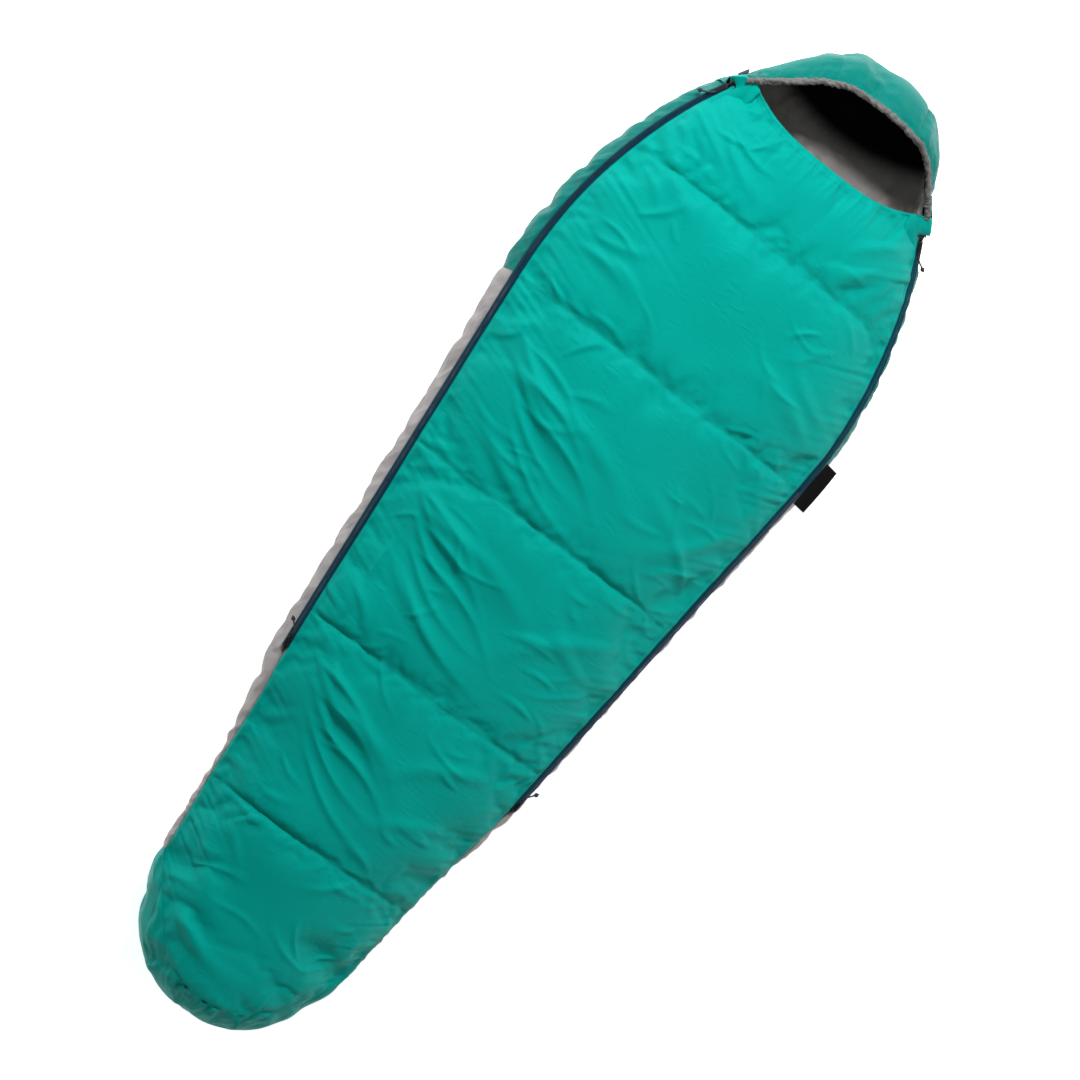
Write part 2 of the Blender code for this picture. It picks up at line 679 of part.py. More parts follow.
def carrier(name, origin, ahead, flip):
    """An empty on the zip: X outward or inward across it, Y along it, Z up."""
    along = Vector(ahead) * (-1 if flip else 1)
    across = along.cross(Vector((0.0, 0.0, 1.0)))
    made = bpy.data.objects.new(name, None)
    made.matrix_world = Matrix((
        (across.x, along.x, 0.0, origin[0]),
        (across.y, along.y, 0.0, origin[1]),
        (0.0, 0.0, 1.0, origin[2]),
        (0.0, 0.0, 0.0, 1.0)))
    PARTS.objects.link(made)
    return made


def slider(name, origin, ahead, flip):
    """Two plates round the coil, a post at the leading end and a bridge that holds the pull."""
    base = carrier(name + "_seat", origin, ahead, flip)
    half = PLATE_LENGTH / 2
    top = PLATE_Z + PLATE_THICK
    plate = box_mesh(name, (-PLATE_HALF_WIDTH, -half, PLATE_Z), (PLATE_HALF_WIDTH, half, top))
    body = add_object(name, plate, GUNMETAL)
    body.parent = base
    pieces = (
        ("lower_plate", (-PLATE_HALF_WIDTH, -half, -top), (PLATE_HALF_WIDTH, half, -PLATE_Z), "UNION"),
        ("post", (-POST_THICK / 2, half - 0.004, -top + PLATE_THICK / 2),
         (POST_THICK / 2, half - 0.0005, top - PLATE_THICK / 2), "UNION"),
        ("bridge", (-BRIDGE_WIDTH / 2, -BRIDGE_LENGTH / 2, top - PLATE_THICK / 2),
         (BRIDGE_WIDTH / 2, BRIDGE_LENGTH / 2, top + BRIDGE_ROOM + BRIDGE_BAR), "UNION"),
        ("bridge_hole", (-BRIDGE_WIDTH, -BRIDGE_LENGTH / 2 + BRIDGE_BAR, top),
         (BRIDGE_WIDTH, BRIDGE_LENGTH / 2 - BRIDGE_BAR, top + BRIDGE_ROOM), "DIFFERENCE"),
    )
    for part, low, high, operation in pieces:
        boolean(body, cutter(f"{name}_{part}", low, high, base), operation)
    bar = box_mesh(name + "_pull", (-PULL_HALF_WIDTH, -PULL_LENGTH, -PULL_THICK / 2),
                   (PULL_HALF_WIDTH, PULL_THICK / 2, PULL_THICK / 2))
    pull = add_object(name + "_pull", bar, GUNMETAL)
    pull.parent = base
    pull.location = (0.0, 0.0, PIVOT_Z)
    slot_half = BRIDGE_WIDTH / 2 + 0.0005
    holes = (
        ("slot", slot_half, SLOT_END, PULL_THICK / 2),
        ("cord_hole", CORD_HOLE_HALF, CORD_HOLE_Y + CORD_HOLE_HALF, CORD_HOLE_Y - CORD_HOLE_HALF),
    )
    for part, wide, far, near in holes:
        tool = cutter(f"{name}_{part}", (-wide, -far, -PULL_THICK), (wide, -near, PULL_THICK), pull)
        boolean(pull, tool, "DIFFERENCE")
    return base


def pull_cord(name, base, points):
    """A short limp cord with its knot, from the pull's end."""
    curve = bpy.data.curves.new(name, "CURVE")
    curve.dimensions = "3D"
    curve.bevel_depth = PULL_CORD_DIAMETER / 2
    curve.bevel_resolution = 2
    curve.use_fill_caps = True
    spline = curve.splines.new("POLY")
    spline.points.add(len(points) - 1)
    for p, place in zip(spline.points, points):
        p.co = (*place, 1.0)
    curve.materials.append(BLACK)
    made = bpy.data.objects.new(name, curve)
    made.parent = base
    PARTS.objects.link(made)


def smooth_points(points, count):
    """Points of a smooth curve through the route's own points."""
    knots = [np.array(p, float) for p in points]
    knots = [2 * knots[0] - knots[1]] + knots + [2 * knots[-1] - knots[-2]]
    found = []
    for k in range(count + 1):
        t = k / count * (len(points) - 1)
        i = min(int(t), len(points) - 2)
        f = t - i
        p0, p1, p2, p3 = knots[i:i + 4]
        found.append(0.5 * (2 * p1 + (p2 - p0) * f + (2 * p0 - 5 * p1 + 4 * p2 - p3) * f * f
                            + (3 * p1 - p0 - 3 * p2 + p3) * f ** 3))
    return found


LOWER_SLIDER_Y = ZIP_BOTTOM_Y + PLATE_LENGTH / 2 + SLIDER_TRAVEL_END
zip_end_angle = math.asin((ZIP_TOP_Y - ARC_CENTRE_Y) / ARC_RADIUS)
upper_slider_angle = zip_end_angle - (PLATE_LENGTH / 2 + SLIDER_TRAVEL_END) / ARC_RADIUS
UPPER_SLIDER_Y = ARC_CENTRE_Y + ARC_RADIUS * math.sin(upper_slider_angle)
CORD_START_Y = -PULL_LENGTH - GAP

for label, side in SIDES:
    for end, y, flip in (("lower", LOWER_SLIDER_Y, True), ("upper", UPPER_SLIDER_Y, False)):
        centre, out, ahead = zip_frame(y, side)
        name = f"slider_{end}_{label}"
        base = slider(name, centre, ahead, flip)
        outside = -side if flip else side
        route = ((0.0, CORD_START_Y, PIVOT_Z), (0.0, CORD_START_Y - 0.004, PIVOT_Z + 0.0005),
                 (outside * 0.004, CORD_START_Y - 0.012, PIVOT_Z + 0.0005),
                 (outside * 0.010, CORD_START_Y - 0.020, PIVOT_Z - 0.001),
                 (outside * 0.016, CORD_START_Y - 0.027, PIVOT_Z - 0.006))
        pull_cord(f"{name}_cord", base, smooth_points(route, 10))


# ---------------------------------------------------------------- closure tabs at the neck

TAB_SHARES = (0.84, 0.93)
TAB_TURNS = (20.0, 30.0, 40.0)
LOOP_THICK = 0.0010
TAB_LIFT = ((-0.030, 0.0012), (-0.014, 0.0040), (0.002, 0.0140))    # past the zip's top, height


def patch(name, columns, turns, near, far, finish):
    """A small sheet on the hood's surface, from near to far above it."""
    def rows(s):
        return [math.radians(t) for t in turns]
    points = sheet_grid(hood_place, columns, rows)
    out = normals(hood_place, columns, rows, -1)
    layer(name, points + out * far, points + out * near, finish)


for label, side in SIDES:
    columns = [side * s for s in (TAB_SHARES if side > 0 else TAB_SHARES[::-1])]
    patch(f"loop_patch_{label}", columns, TAB_TURNS, GAP, GAP + LOOP_THICK, BLACK)
    patch(f"hook_patch_{label}", columns, TAB_TURNS, 2 * GAP + LOOP_THICK, 2 * GAP + 2 * LOOP_THICK, BLACK)
    tab_low = 3 * GAP + 2 * LOOP_THICK
    rows = []
    for share in TAB_SHARES:
        s = side * share
        turns = [math.radians(t) for t in TAB_TURNS]
        out = normals(hood_place, [s], lambda _: turns, -1)[0]
        on_hood = [hood_place(s, t) + n * tab_low for t, n in zip(turns, out)]
        on_flap = [top_place(side * (share - 0.02), ZIP_TOP_Y + past) + np.array((0.0, 0.0, lift))
                   for past, lift in TAB_LIFT]
        rows.append(on_flap + on_hood[::-1])
    lower = np.array(rows)
    upper = lower + np.array((0.0, 0.0003, LOOP_THICK))
    layer(f"closure_tab_{label}", upper, lower, TEAL)


# ---------------------------------------------------------------- side tag

tag_start, tag_out = zip_frame(TAG_CENTRE_Y, 1)[:2]
TAG_FALL = math.radians(24)
tag_root = tag_start + tag_out * 0.0068 + np.array((0.0, 0.0, -0.0044))
fall = Matrix.Rotation(TAG_FALL, 4, "Y")
turn = Matrix.Rotation(math.atan2(tag_out[1], tag_out[0]), 4, "Z")
tag = add_object("side_tag", box_mesh("side_tag", (0.0, -TAG_LENGTH / 2, -TAG_THICK / 2),
                                      (TAG_WIDTH, TAG_LENGTH / 2, TAG_THICK / 2)), BLACK)
tag.matrix_world = Matrix.Translation(Vector(tag_root)) @ turn @ fall
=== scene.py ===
import math

import bmesh
import bpy
import numpy as np
from mathutils import Matrix, Vector, noise
from mathutils.bvhtree import BVHTree


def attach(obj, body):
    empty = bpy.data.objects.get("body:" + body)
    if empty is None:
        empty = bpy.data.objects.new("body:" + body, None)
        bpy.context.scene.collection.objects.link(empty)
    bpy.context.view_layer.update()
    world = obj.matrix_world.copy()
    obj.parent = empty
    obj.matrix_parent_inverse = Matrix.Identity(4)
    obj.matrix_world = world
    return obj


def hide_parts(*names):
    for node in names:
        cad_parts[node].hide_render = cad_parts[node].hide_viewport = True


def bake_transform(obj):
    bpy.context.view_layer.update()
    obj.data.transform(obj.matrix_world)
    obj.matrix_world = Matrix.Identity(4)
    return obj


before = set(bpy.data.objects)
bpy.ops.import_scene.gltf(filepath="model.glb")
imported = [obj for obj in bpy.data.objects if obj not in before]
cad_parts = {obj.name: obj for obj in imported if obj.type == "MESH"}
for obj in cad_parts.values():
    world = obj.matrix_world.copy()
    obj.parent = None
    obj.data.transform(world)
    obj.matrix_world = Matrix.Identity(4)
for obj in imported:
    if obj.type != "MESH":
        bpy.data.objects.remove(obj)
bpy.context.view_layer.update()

scene = bpy.context.scene

# ---- View and light ----------------------------------------------------------------------
# The bag lies on its back on a white sweep and is seen from almost straight above, from a
# little to its left. A soft light stands high beyond the hood, and two weak ones fill the
# right side and the foot.

LOOK_AT = Vector((0.0036, -0.0007, 0.07))
VIEW_DISTANCE = 5.25
VIEW_LEAN = math.radians(13)
VIEW_TURN = math.radians(37.67)
camera_data = bpy.data.cameras.new("camera")
camera_data.lens = 100
camera = bpy.data.objects.new("camera", camera_data)
scene.collection.objects.link(camera)
to_camera = Vector((-math.sin(VIEW_LEAN), 0.0, math.cos(VIEW_LEAN)))
picture_up = Vector((-math.sin(VIEW_TURN), math.cos(VIEW_TURN), 0.0))
picture_right = picture_up.cross(to_camera).normalized()
picture_up = to_camera.cross(picture_right)
camera.matrix_world = Matrix.Translation(LOOK_AT + to_camera * VIEW_DISTANCE) @ Matrix((
    picture_right, picture_up, to_camera)).transposed().to_4x4()
scene.camera = camera


def area_light(name, place, size, power, target=(0.0, 0.1, 0.1)):
    """A square soft light aimed at a point of the bag."""
    data = bpy.data.lights.new(name, "AREA")
    data.size = size
    data.energy = power
    lamp = bpy.data.objects.new(name, data)
    scene.collection.objects.link(lamp)
    lamp.location = place
    lamp.rotation_euler = (Vector(target) - Vector(place)).to_track_quat("-Z", "Y").to_euler()


area_light("key_light", (-0.75, 2.35, 2.1), size=0.7, power=108)
area_light("side_light", (2.6, -0.6, 1.1), size=1.0, power=11)
area_light("foot_light", (-2.4, -1.6, 1.7), size=1.2, power=5)
world = bpy.data.worlds.new("studio")
world.use_nodes = True
backdrop = world.node_tree.nodes["Background"]
backdrop.inputs["Color"].default_value = (1.0, 1.0, 1.0, 1.0)
backdrop.inputs["Strength"].default_value = 0.24
scene.world = world
scene.view_settings.view_transform = "Standard"

FLOOR_REACH, FLOOR_Z = 12, -0.0004
floor_mesh = bpy.data.meshes.new("floor")
floor_corners = [(x * FLOOR_REACH, y * FLOOR_REACH, FLOOR_Z)
                 for x, y in ((-1, -1), (1, -1), (1, 1), (-1, 1))]
floor_mesh.from_pydata(floor_corners, [], [(0, 1, 2, 3)])
floor = bpy.data.objects.new("floor", floor_mesh)
scene.collection.objects.link(floor)
paper = bpy.data.materials.new("white_sweep")
paper.use_nodes = True
paper_shader = paper.node_tree.nodes["Principled BSDF"]
paper_shader.inputs["Base Color"].default_value = (0.93, 0.93, 0.93, 1.0)
paper_shader.inputs["Roughness"].default_value = 0.9
paper_shader.inputs["Emission Color"].default_value = (1.0, 1.0, 1.0, 1.0)
paper_shader.inputs["Emission Strength"].default_value = 0.78
floor_mesh.materials.append(paper)

# ---- The bag's outer form ----------------------------------------------------------------
# The side zips run straight up the legs, then round the shoulder in one arc. Everything
# that is sewn to them is measured from this line, across from seam to seam.

FOOT_Y, HOOD_TIP_Y = -1.025, 1.025
CREST_HEIGHT, FOOT_CREST, ZIP_HEIGHT = 0.150, 0.134, 0.100
ZIP_BOTTOM_Y, ZIP_BOTTOM_X, ZIP_SLOPE = -0.410, 0.251, 0.0911
ARC_START_Y, ARC_RADIUS, ZIP_TOP_Y = 0.342, 0.842, 0.820
FOOT_SLOPE, FOOT_CURVE = 0.2024, 0.143
FOOT_SEAM_Y, FOOT_SEAM_SIDE_Y = -0.988, -0.820
ARC_CENTRE_Y = ARC_START_Y + ARC_RADIUS * ZIP_SLOPE / math.hypot(1.0, ZIP_SLOPE)
ARC_CENTRE_X = (ZIP_BOTTOM_X + ZIP_SLOPE * (ARC_START_Y - ZIP_BOTTOM_Y)
                - ARC_RADIUS / math.hypot(1.0, ZIP_SLOPE))
TOP_EDGE = 0.0046            # zip centre to the edge of the top panel
BACK_EDGE = 0.0056           # and of the back panel
FOOT_WIDENING = 0.009        # how far the seams move out at the foot
FOOT_DROP = 0.026            # and down
LEAST_GAP = 0.0002           # between two panels sewn straight together


def below_zip(y):
    """0 just below the zips' lower ends, rising to 1 down the foot section."""
    share = min(max((ZIP_BOTTOM_Y - 0.03 - y) / 0.26, 0.0), 1.0)
    return share * share * (3 - 2 * share)


def seam_x(y):
    """Half-width between the side seams."""
    if y < ZIP_BOTTOM_Y:
        d = max(y, FOOT_SEAM_SIDE_Y) - ZIP_BOTTOM_Y
        return ZIP_BOTTOM_X + FOOT_SLOPE * d + FOOT_CURVE * d * d + FOOT_WIDENING * below_zip(y)
    if y < ARC_START_Y:
        return ZIP_BOTTOM_X + ZIP_SLOPE * (y - ZIP_BOTTOM_Y)
    return ARC_CENTRE_X + math.sqrt(ARC_RADIUS ** 2 - (min(y, ZIP_TOP_Y) - ARC_CENTRE_Y) ** 2)


def seam_height(y):
    """Side seams above the floor: level along the zips, lower at the foot."""
    return ZIP_HEIGHT - FOOT_DROP * below_zip(y)


def side_radius(y):
    """Radius of the roll between the floor and the side seam."""
    return float(np.interp(y, (-0.82, 0.0, 0.45, 0.82), (0.061, 0.0605, 0.0565, 0.060)))


def crest(y):
    """Height of the top panel's middle."""
    share = 0.5 - 0.5 * math.cos(math.pi * min(max((y + 0.7) / 1.05, 0.0), 1.0))
    return FOOT_CREST + (CREST_HEIGHT - FOOT_CREST) * share - 0.010 * max(0.0, (y - 0.5) / 0.32) ** 2


def edge_gap(y, at_zip):
    """Room from the seam line to a panel: the zip's own along it, almost none below."""
    share = min(max((y - ZIP_BOTTOM_Y + 0.030) / 0.030, 0.0), 1.0)
    return LEAST_GAP + (at_zip - LEAST_GAP) * share


def top_place(s, y):
    """Point of the top panel, s from -1 at the left zip to 1 at the right one."""
    half = seam_x(y)
    x = s * (half - edge_gap(y, TOP_EDGE))
    base = seam_height(y)
    return Vector((x, y, base + (crest(y) - base) * (1 - abs(x / half) ** 2.6)))


FLAT_SHARE = 0.6


def back_place(s, y):
    """Point of the back panel: flat on the floor, then rolled up to the side seam."""
    radius = side_radius(y)
    half = seam_x(y)
    seam_angle = math.asin((seam_height(y) - radius) / radius)
    centre = half - radius * math.cos(seam_angle)
    a = abs(s)
    side = math.copysign(1.0, s)
    if a <= FLAT_SHARE:
        return Vector((side * centre * a / FLAT_SHARE, y, 0.0))
    edge_angle = seam_angle - edge_gap(y, BACK_EDGE) / radius
    angle = -math.pi / 2 + (edge_angle + math.pi / 2) * (a - FLAT_SHARE) / (1 - FLAT_SHARE)
    return Vector((side * (centre + radius * math.cos(angle)), y, radius + radius * math.sin(angle)))


def foot_seam(share):
    """Where the foot seam runs, for a share of the way across."""
    return FOOT_SEAM_Y + (FOOT_SEAM_SIDE_Y - FOOT_SEAM_Y) * min(1.0, abs(share)) ** 2.2


def zip_frame(y, side):
    """Zip centre, outward direction and direction to the head, for one side."""
    slope = ZIP_SLOPE if y < ARC_START_Y else (ARC_CENTRE_Y - y) / (seam_x(y) - ARC_CENTRE_X)
    ahead = Vector((side * slope, 1.0, 0.0)).normalized()
    out = side * Vector((ahead[1], -ahead[0], 0.0))
    return Vector((side * seam_x(y), y, ZIP_HEIGHT)), out, ahead


SIDES = (("left", -1), ("right", 1))

# ---- Pull cords --------------------------------------------------------------------------
# Each zip pull carries a short limp black braided cord, passed through the hole in its end
# and finished with a knot, so that it can be found with a gloved hand.

CORD_DIAMETER = 0.0030


def slider_seat(end, side):
    """Centre of a slider with its across and along directions; along leads it shut."""
    if end == "lower":
        y = ZIP_BOTTOM_Y + 0.008
    else:
        y = ARC_CENTRE_Y + ARC_RADIUS * math.sin(math.asin((ZIP_TOP_Y - ARC_CENTRE_Y) / ARC_RADIUS)
                                                 - 0.008 / ARC_RADIUS)
    centre, _, ahead = zip_frame(y, side)
    along = -ahead if end == "lower" else ahead
    return centre, along.cross(Vector((0, 0, 1))), along


def braid_material(name, colour, pitch=900.0):
    """Twisted or woven yarn, as small raised cells."""
    made = bpy.data.materials.new(name)
    made.use_nodes = True
    tree = made.node_tree
    shader = tree.nodes["Principled BSDF"]
    shader.inputs["Roughness"].default_value = 0.75
    place = tree.nodes.new("ShaderNodeTexCoord")
    braid = tree.nodes.new("ShaderNodeTexVoronoi")
    braid.inputs["Scale"].default_value = pitch
    shade = tree.nodes.new("ShaderNodeMix")
    shade.data_type = "RGBA"
    shade.inputs["A"].default_value = (*colour, 1.0)
    shade.inputs["B"].default_value = (*(c * 2.2 for c in colour), 1.0)
    raised = tree.nodes.new("ShaderNodeBump")
    raised.inputs["Distance"].default_value = 0.0003
    tree.links.new(place.outputs["Object"], braid.inputs["Vector"])
    tree.links.new(braid.outputs["Distance"], shade.inputs["Factor"])
    tree.links.new(shade.outputs["Result"], shader.inputs["Base Color"])
    tree.links.new(braid.outputs["Distance"], raised.inputs["Height"])
    tree.links.new(raised.outputs[0], shader.inputs["Normal"])
    return made


CORD = braid_material("black_braid", (0.012, 0.012, 0.013))


def knot(name, centre, along):
    """An overhand knot in the cord, drawn tight: a small lobed ball."""
    mesh = bpy.data.meshes.new(name)
    made = bmesh.new()
    bmesh.ops.create_uvsphere(made, u_segments=20, v_segments=12, radius=1.0)
    turned = along.to_track_quat("Z", "X").to_matrix()
    for v in made.verts:
        turn = math.atan2(v.co.y, v.co.x)
        lobe = 1 + 0.16 * math.sin(3 * turn + 4.0 * v.co.z)
        v.co = centre + turned @ Vector((v.co.x * 0.0038 * lobe, v.co.y * 0.0038 * lobe, v.co.z * 0.0044))
    made.to_mesh(mesh)
    made.free()
    mesh.materials.append(CORD)
    mesh.shade_smooth()
    ball = bpy.data.objects.new(name, mesh)
    scene.collection.objects.link(ball)
    return ball


def smooth_line(points, count):
    """Points along a smooth curve through the given ones."""
    points = [Vector(p) for p in points]
    ends = [2 * points[0] - points[1]] + points + [2 * points[-1] - points[-2]]
    found = []
    for k in range(count + 1):
        t = k / count * (len(points) - 1)
        i = min(int(t), len(points) - 2)
        f = t - i
        a, b, c, d = ends[i:i + 4]
        found.append(0.5 * (2 * b + (c - a) * f + (2 * a - 5 * b + 4 * c - d) * f * f
                            + (3 * b - a - 3 * c + d) * f ** 3))
    return found


for label, side in SIDES:
    for end in ("lower", "upper"):
        centre, across, along = slider_seat(end, side)
        outside = -side if end == "lower" else side
        name = f"slider_{end}_{label}_braid"
        route = ((0.0, -0.0163, 0.0035), (0.0, -0.0203, 0.0040), (outside * 0.004, -0.0283, 0.0040),
                 (outside * 0.010, -0.0363, 0.0025), (outside * 0.016, -0.0433, -0.0025))
        line = smooth_line([centre + across * a + along * b + Vector((0, 0, c)) for a, b, c in route], 24)
        curve = bpy.data.curves.new(name, "CURVE")
        curve.dimensions = "3D"
        curve.bevel_depth = CORD_DIAMETER / 2
        curve.bevel_resolution = 4
        curve.use_fill_caps = True
        spline = curve.splines.new("POLY")
        spline.points.add(len(line) - 1)
        for point, place in zip(spline.points, line):
            point.co = (*place, 1.0)
        curve.materials.append(CORD)
        braid = bpy.data.objects.new(name, curve)
        scene.collection.objects.link(braid)
        ball = knot(name + "_knot", line[-4], (line[-1] - line[-5]).normalized())
        length = sum((b - a).length for a, b in zip(line, line[1:]))
        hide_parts(f"slider_{end}_{label}_cord")
        for piece in (braid, ball):
            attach(piece, f"pull_{end}_{label}")

# ---- Top panel ---------------------------------------------------------------------------
# One teal ripstop cover from the foot seam to the neck edge, quilted through by five rows
# of stitching, turned under along both zips and rolled over at the neck. It is cut a little
# too large for its seams, as filled fabric is, so that it swells and wrinkles.


def add_node(tree, kind, **values):
    """A shader node with its own settings given."""
    made = tree.nodes.new(kind)
    for key, value in values.items():
        setattr(made, key, value)
    return made


def weave_group():
    """Ripstop lines, yarn grain and small creases, as a height and a shade."""
    tree = bpy.data.node_groups.new("ripstop_weave", "ShaderNodeTree")
    for name, kind in (("Cloth", "NodeSocketVector"), ("Place", "NodeSocketVector")):
        tree.interface.new_socket(name, in_out="INPUT", socket_type=kind)
    for name, value in (("Rip pitch", 260.0), ("Rip depth", 0.25), ("Crease depth", 1.0)):
        socket = tree.interface.new_socket(name, in_out="INPUT", socket_type="NodeSocketFloat")
        socket.default_value = value
    for name in ("Height", "Shade"):
        tree.interface.new_socket(name, in_out="OUTPUT", socket_type="NodeSocketFloat")
    inside = add_node(tree, "NodeGroupInput")
    outside = add_node(tree, "NodeGroupOutput")
    link = tree.links.new

    def math_node(operation, a, b=None):
        made = add_node(tree, "ShaderNodeMath", operation=operation)
        for socket, value in zip(made.inputs, (a, b)):
            if isinstance(value, (int, float)):
                socket.default_value = value
            elif value is not None:
                link(value, socket)
        return made.outputs[0]

    split = add_node(tree, "ShaderNodeSeparateXYZ")
    link(inside.outputs["Cloth"], split.inputs[0])
    lines = []
    for axis in ("X", "Y"):
        wave = math_node("SINE", math_node("MULTIPLY", split.outputs[axis], math_node(
            "MULTIPLY", inside.outputs["Rip pitch"], 2 * math.pi)))
        lines.append(math_node("POWER", math_node("ABSOLUTE", wave), 8.0))
    rip = math_node("MAXIMUM", lines[0], lines[1])
    yarn = add_node(tree, "ShaderNodeTexNoise")
    yarn.inputs["Scale"].default_value = 430.0
    yarn.inputs["Detail"].default_value = 2.0
    link(inside.outputs["Cloth"], yarn.inputs["Vector"])
    stretched = add_node(tree, "ShaderNodeMapping")
    stretched.inputs["Scale"].default_value = (55.0, 120.0, 80.0)
    stretched.inputs["Rotation"].default_value = (0.0, 0.0, 0.55)
    link(inside.outputs["Place"], stretched.inputs["Vector"])
    crease = add_node(tree, "ShaderNodeTexNoise", noise_type="RIDGED_MULTIFRACTAL")
    crease.inputs["Scale"].default_value = 0.8
    crease.inputs["Detail"].default_value = 3.0
    crease.inputs["Distortion"].default_value = 0.6
    link(stretched.outputs[0], crease.inputs["Vector"])
    patch = add_node(tree, "ShaderNodeTexNoise")
    patch.inputs["Scale"].default_value = 7.0
    link(inside.outputs["Place"], patch.inputs["Vector"])
    creases = math_node("MULTIPLY", math_node("MULTIPLY", crease.outputs[0], patch.outputs[0]),
                        inside.outputs["Crease depth"])
    fine = math_node("ADD", math_node("MULTIPLY", rip, inside.outputs["Rip depth"]),
                     math_node("MULTIPLY", yarn.outputs[0], 0.30))
    link(math_node("ADD", fine, creases), outside.inputs["Height"])
    link(math_node("ADD", math_node("MULTIPLY", patch.outputs[0], 0.6),
                   math_node("MULTIPLY", rip, 0.25)), outside.inputs["Shade"])
    return tree


WEAVE = weave_group()


def fabric(name, dark, light, roughness=0.42, rip=0.25, crease=1.0, bump=0.0015, tint=None,
           sheen=0.06, pitch=260.0, specular=0.22):
    """A woven cloth between two shades of its colour."""
    made = bpy.data.materials.new(name)
    made.use_nodes = True
    tree = made.node_tree
    shader = tree.nodes["Principled BSDF"]
    shader.inputs["Roughness"].default_value = roughness
    shader.inputs["Specular IOR Level"].default_value = specular
    shader.inputs["Specular Tint"].default_value = (*(tint or light), 1.0)
    shader.inputs["Sheen Weight"].default_value = sheen
    shader.inputs["Sheen Roughness"].default_value = 0.4
    shader.inputs["Sheen Tint"].default_value = (*(tint or light), 1.0)
    place = add_node(tree, "ShaderNodeTexCoord")
    weave = add_node(tree, "ShaderNodeGroup", node_tree=WEAVE)
    weave.inputs["Rip pitch"].default_value = pitch
    weave.inputs["Rip depth"].default_value = rip
    weave.inputs["Crease depth"].default_value = crease
    tree.links.new(place.outputs["UV"], weave.inputs["Cloth"])
    tree.links.new(place.outputs["Object"], weave.inputs["Place"])
    mix = add_node(tree, "ShaderNodeMix", data_type="RGBA")
    mix.inputs["A"].default_value = (*dark, 1.0)
    mix.inputs["B"].default_value = (*light, 1.0)
    tree.links.new(weave.outputs["Shade"], mix.inputs["Factor"])
    tree.links.new(mix.outputs["Result"], shader.inputs["Base Color"])
    raised = add_node(tree, "ShaderNodeBump")
    raised.inputs["Distance"].default_value = bump
    tree.links.new(weave.outputs["Height"], raised.inputs["Height"])
    tree.links.new(raised.outputs[0], shader.inputs["Normal"])
    return made


TEAL = fabric("teal_ripstop_nylon", (0.0, 0.33, 0.275), (0.0, 0.42, 0.355), tint=(0.1, 1.0, 0.9))


def grid_mesh(name, points, ring=False, flip=False):
    """Quads over points[column][row], mapped by the cloth's own width and length."""
    columns, rows = len(points), len(points[0])
    mesh = bpy.data.meshes.new(name)
    faces = []
    for i in range(columns if ring else columns - 1):
        nxt = (i + 1) % columns
        for j in range(rows - 1):
            face = (i * rows + j, nxt * rows + j, nxt * rows + j + 1, i * rows + j + 1)
            faces.append(face[::-1] if flip else face)
    place = np.array([[tuple(p) for p in column] for column in points], float)
    across = np.zeros((columns, rows))
    across[1:] = np.cumsum(np.linalg.norm(np.diff(place, axis=0), axis=2), axis=0)
    across -= across[columns // 2]
    along = np.zeros((columns, rows))
    along[:, 1:] = np.cumsum(np.linalg.norm(np.diff(place, axis=1), axis=2), axis=1)
    mesh.from_pydata(place.reshape(-1, 3).tolist(), [], faces)
    cloth_map = mesh.uv_layers.new(name="cloth")
    corner = np.empty(len(mesh.loops), np.int32)
    mesh.loops.foreach_get("vertex_index", corner)
    flat = np.stack((across.ravel()[corner], along.ravel()[corner]), axis=1)
    cloth_map.data.foreach_set("uv", flat.astype(np.float32).ravel())
    mesh.update()
    made = bpy.data.objects.new(name, mesh)
    scene.collection.objects.link(made)
    return made


def coordinates(mesh):
    """Every point of a mesh."""
    found = np.empty(len(mesh.vertices) * 3, np.float32)
    mesh.vertices.foreach_get("co", found)
    return found.reshape(-1, 3).astype(float)


def set_coordinates(mesh, points):
    """Moves every point of a mesh."""
    mesh.vertices.foreach_set("co", np.asarray(points, np.float32).ravel())
    mesh.update()


def vertex_normals(mesh):
    """The outward direction at every point of a mesh."""
    found = np.empty(len(mesh.vertices) * 3, np.float32)
    mesh.vertices.foreach_get("normal", found)
    return found.reshape(-1, 3).astype(float)


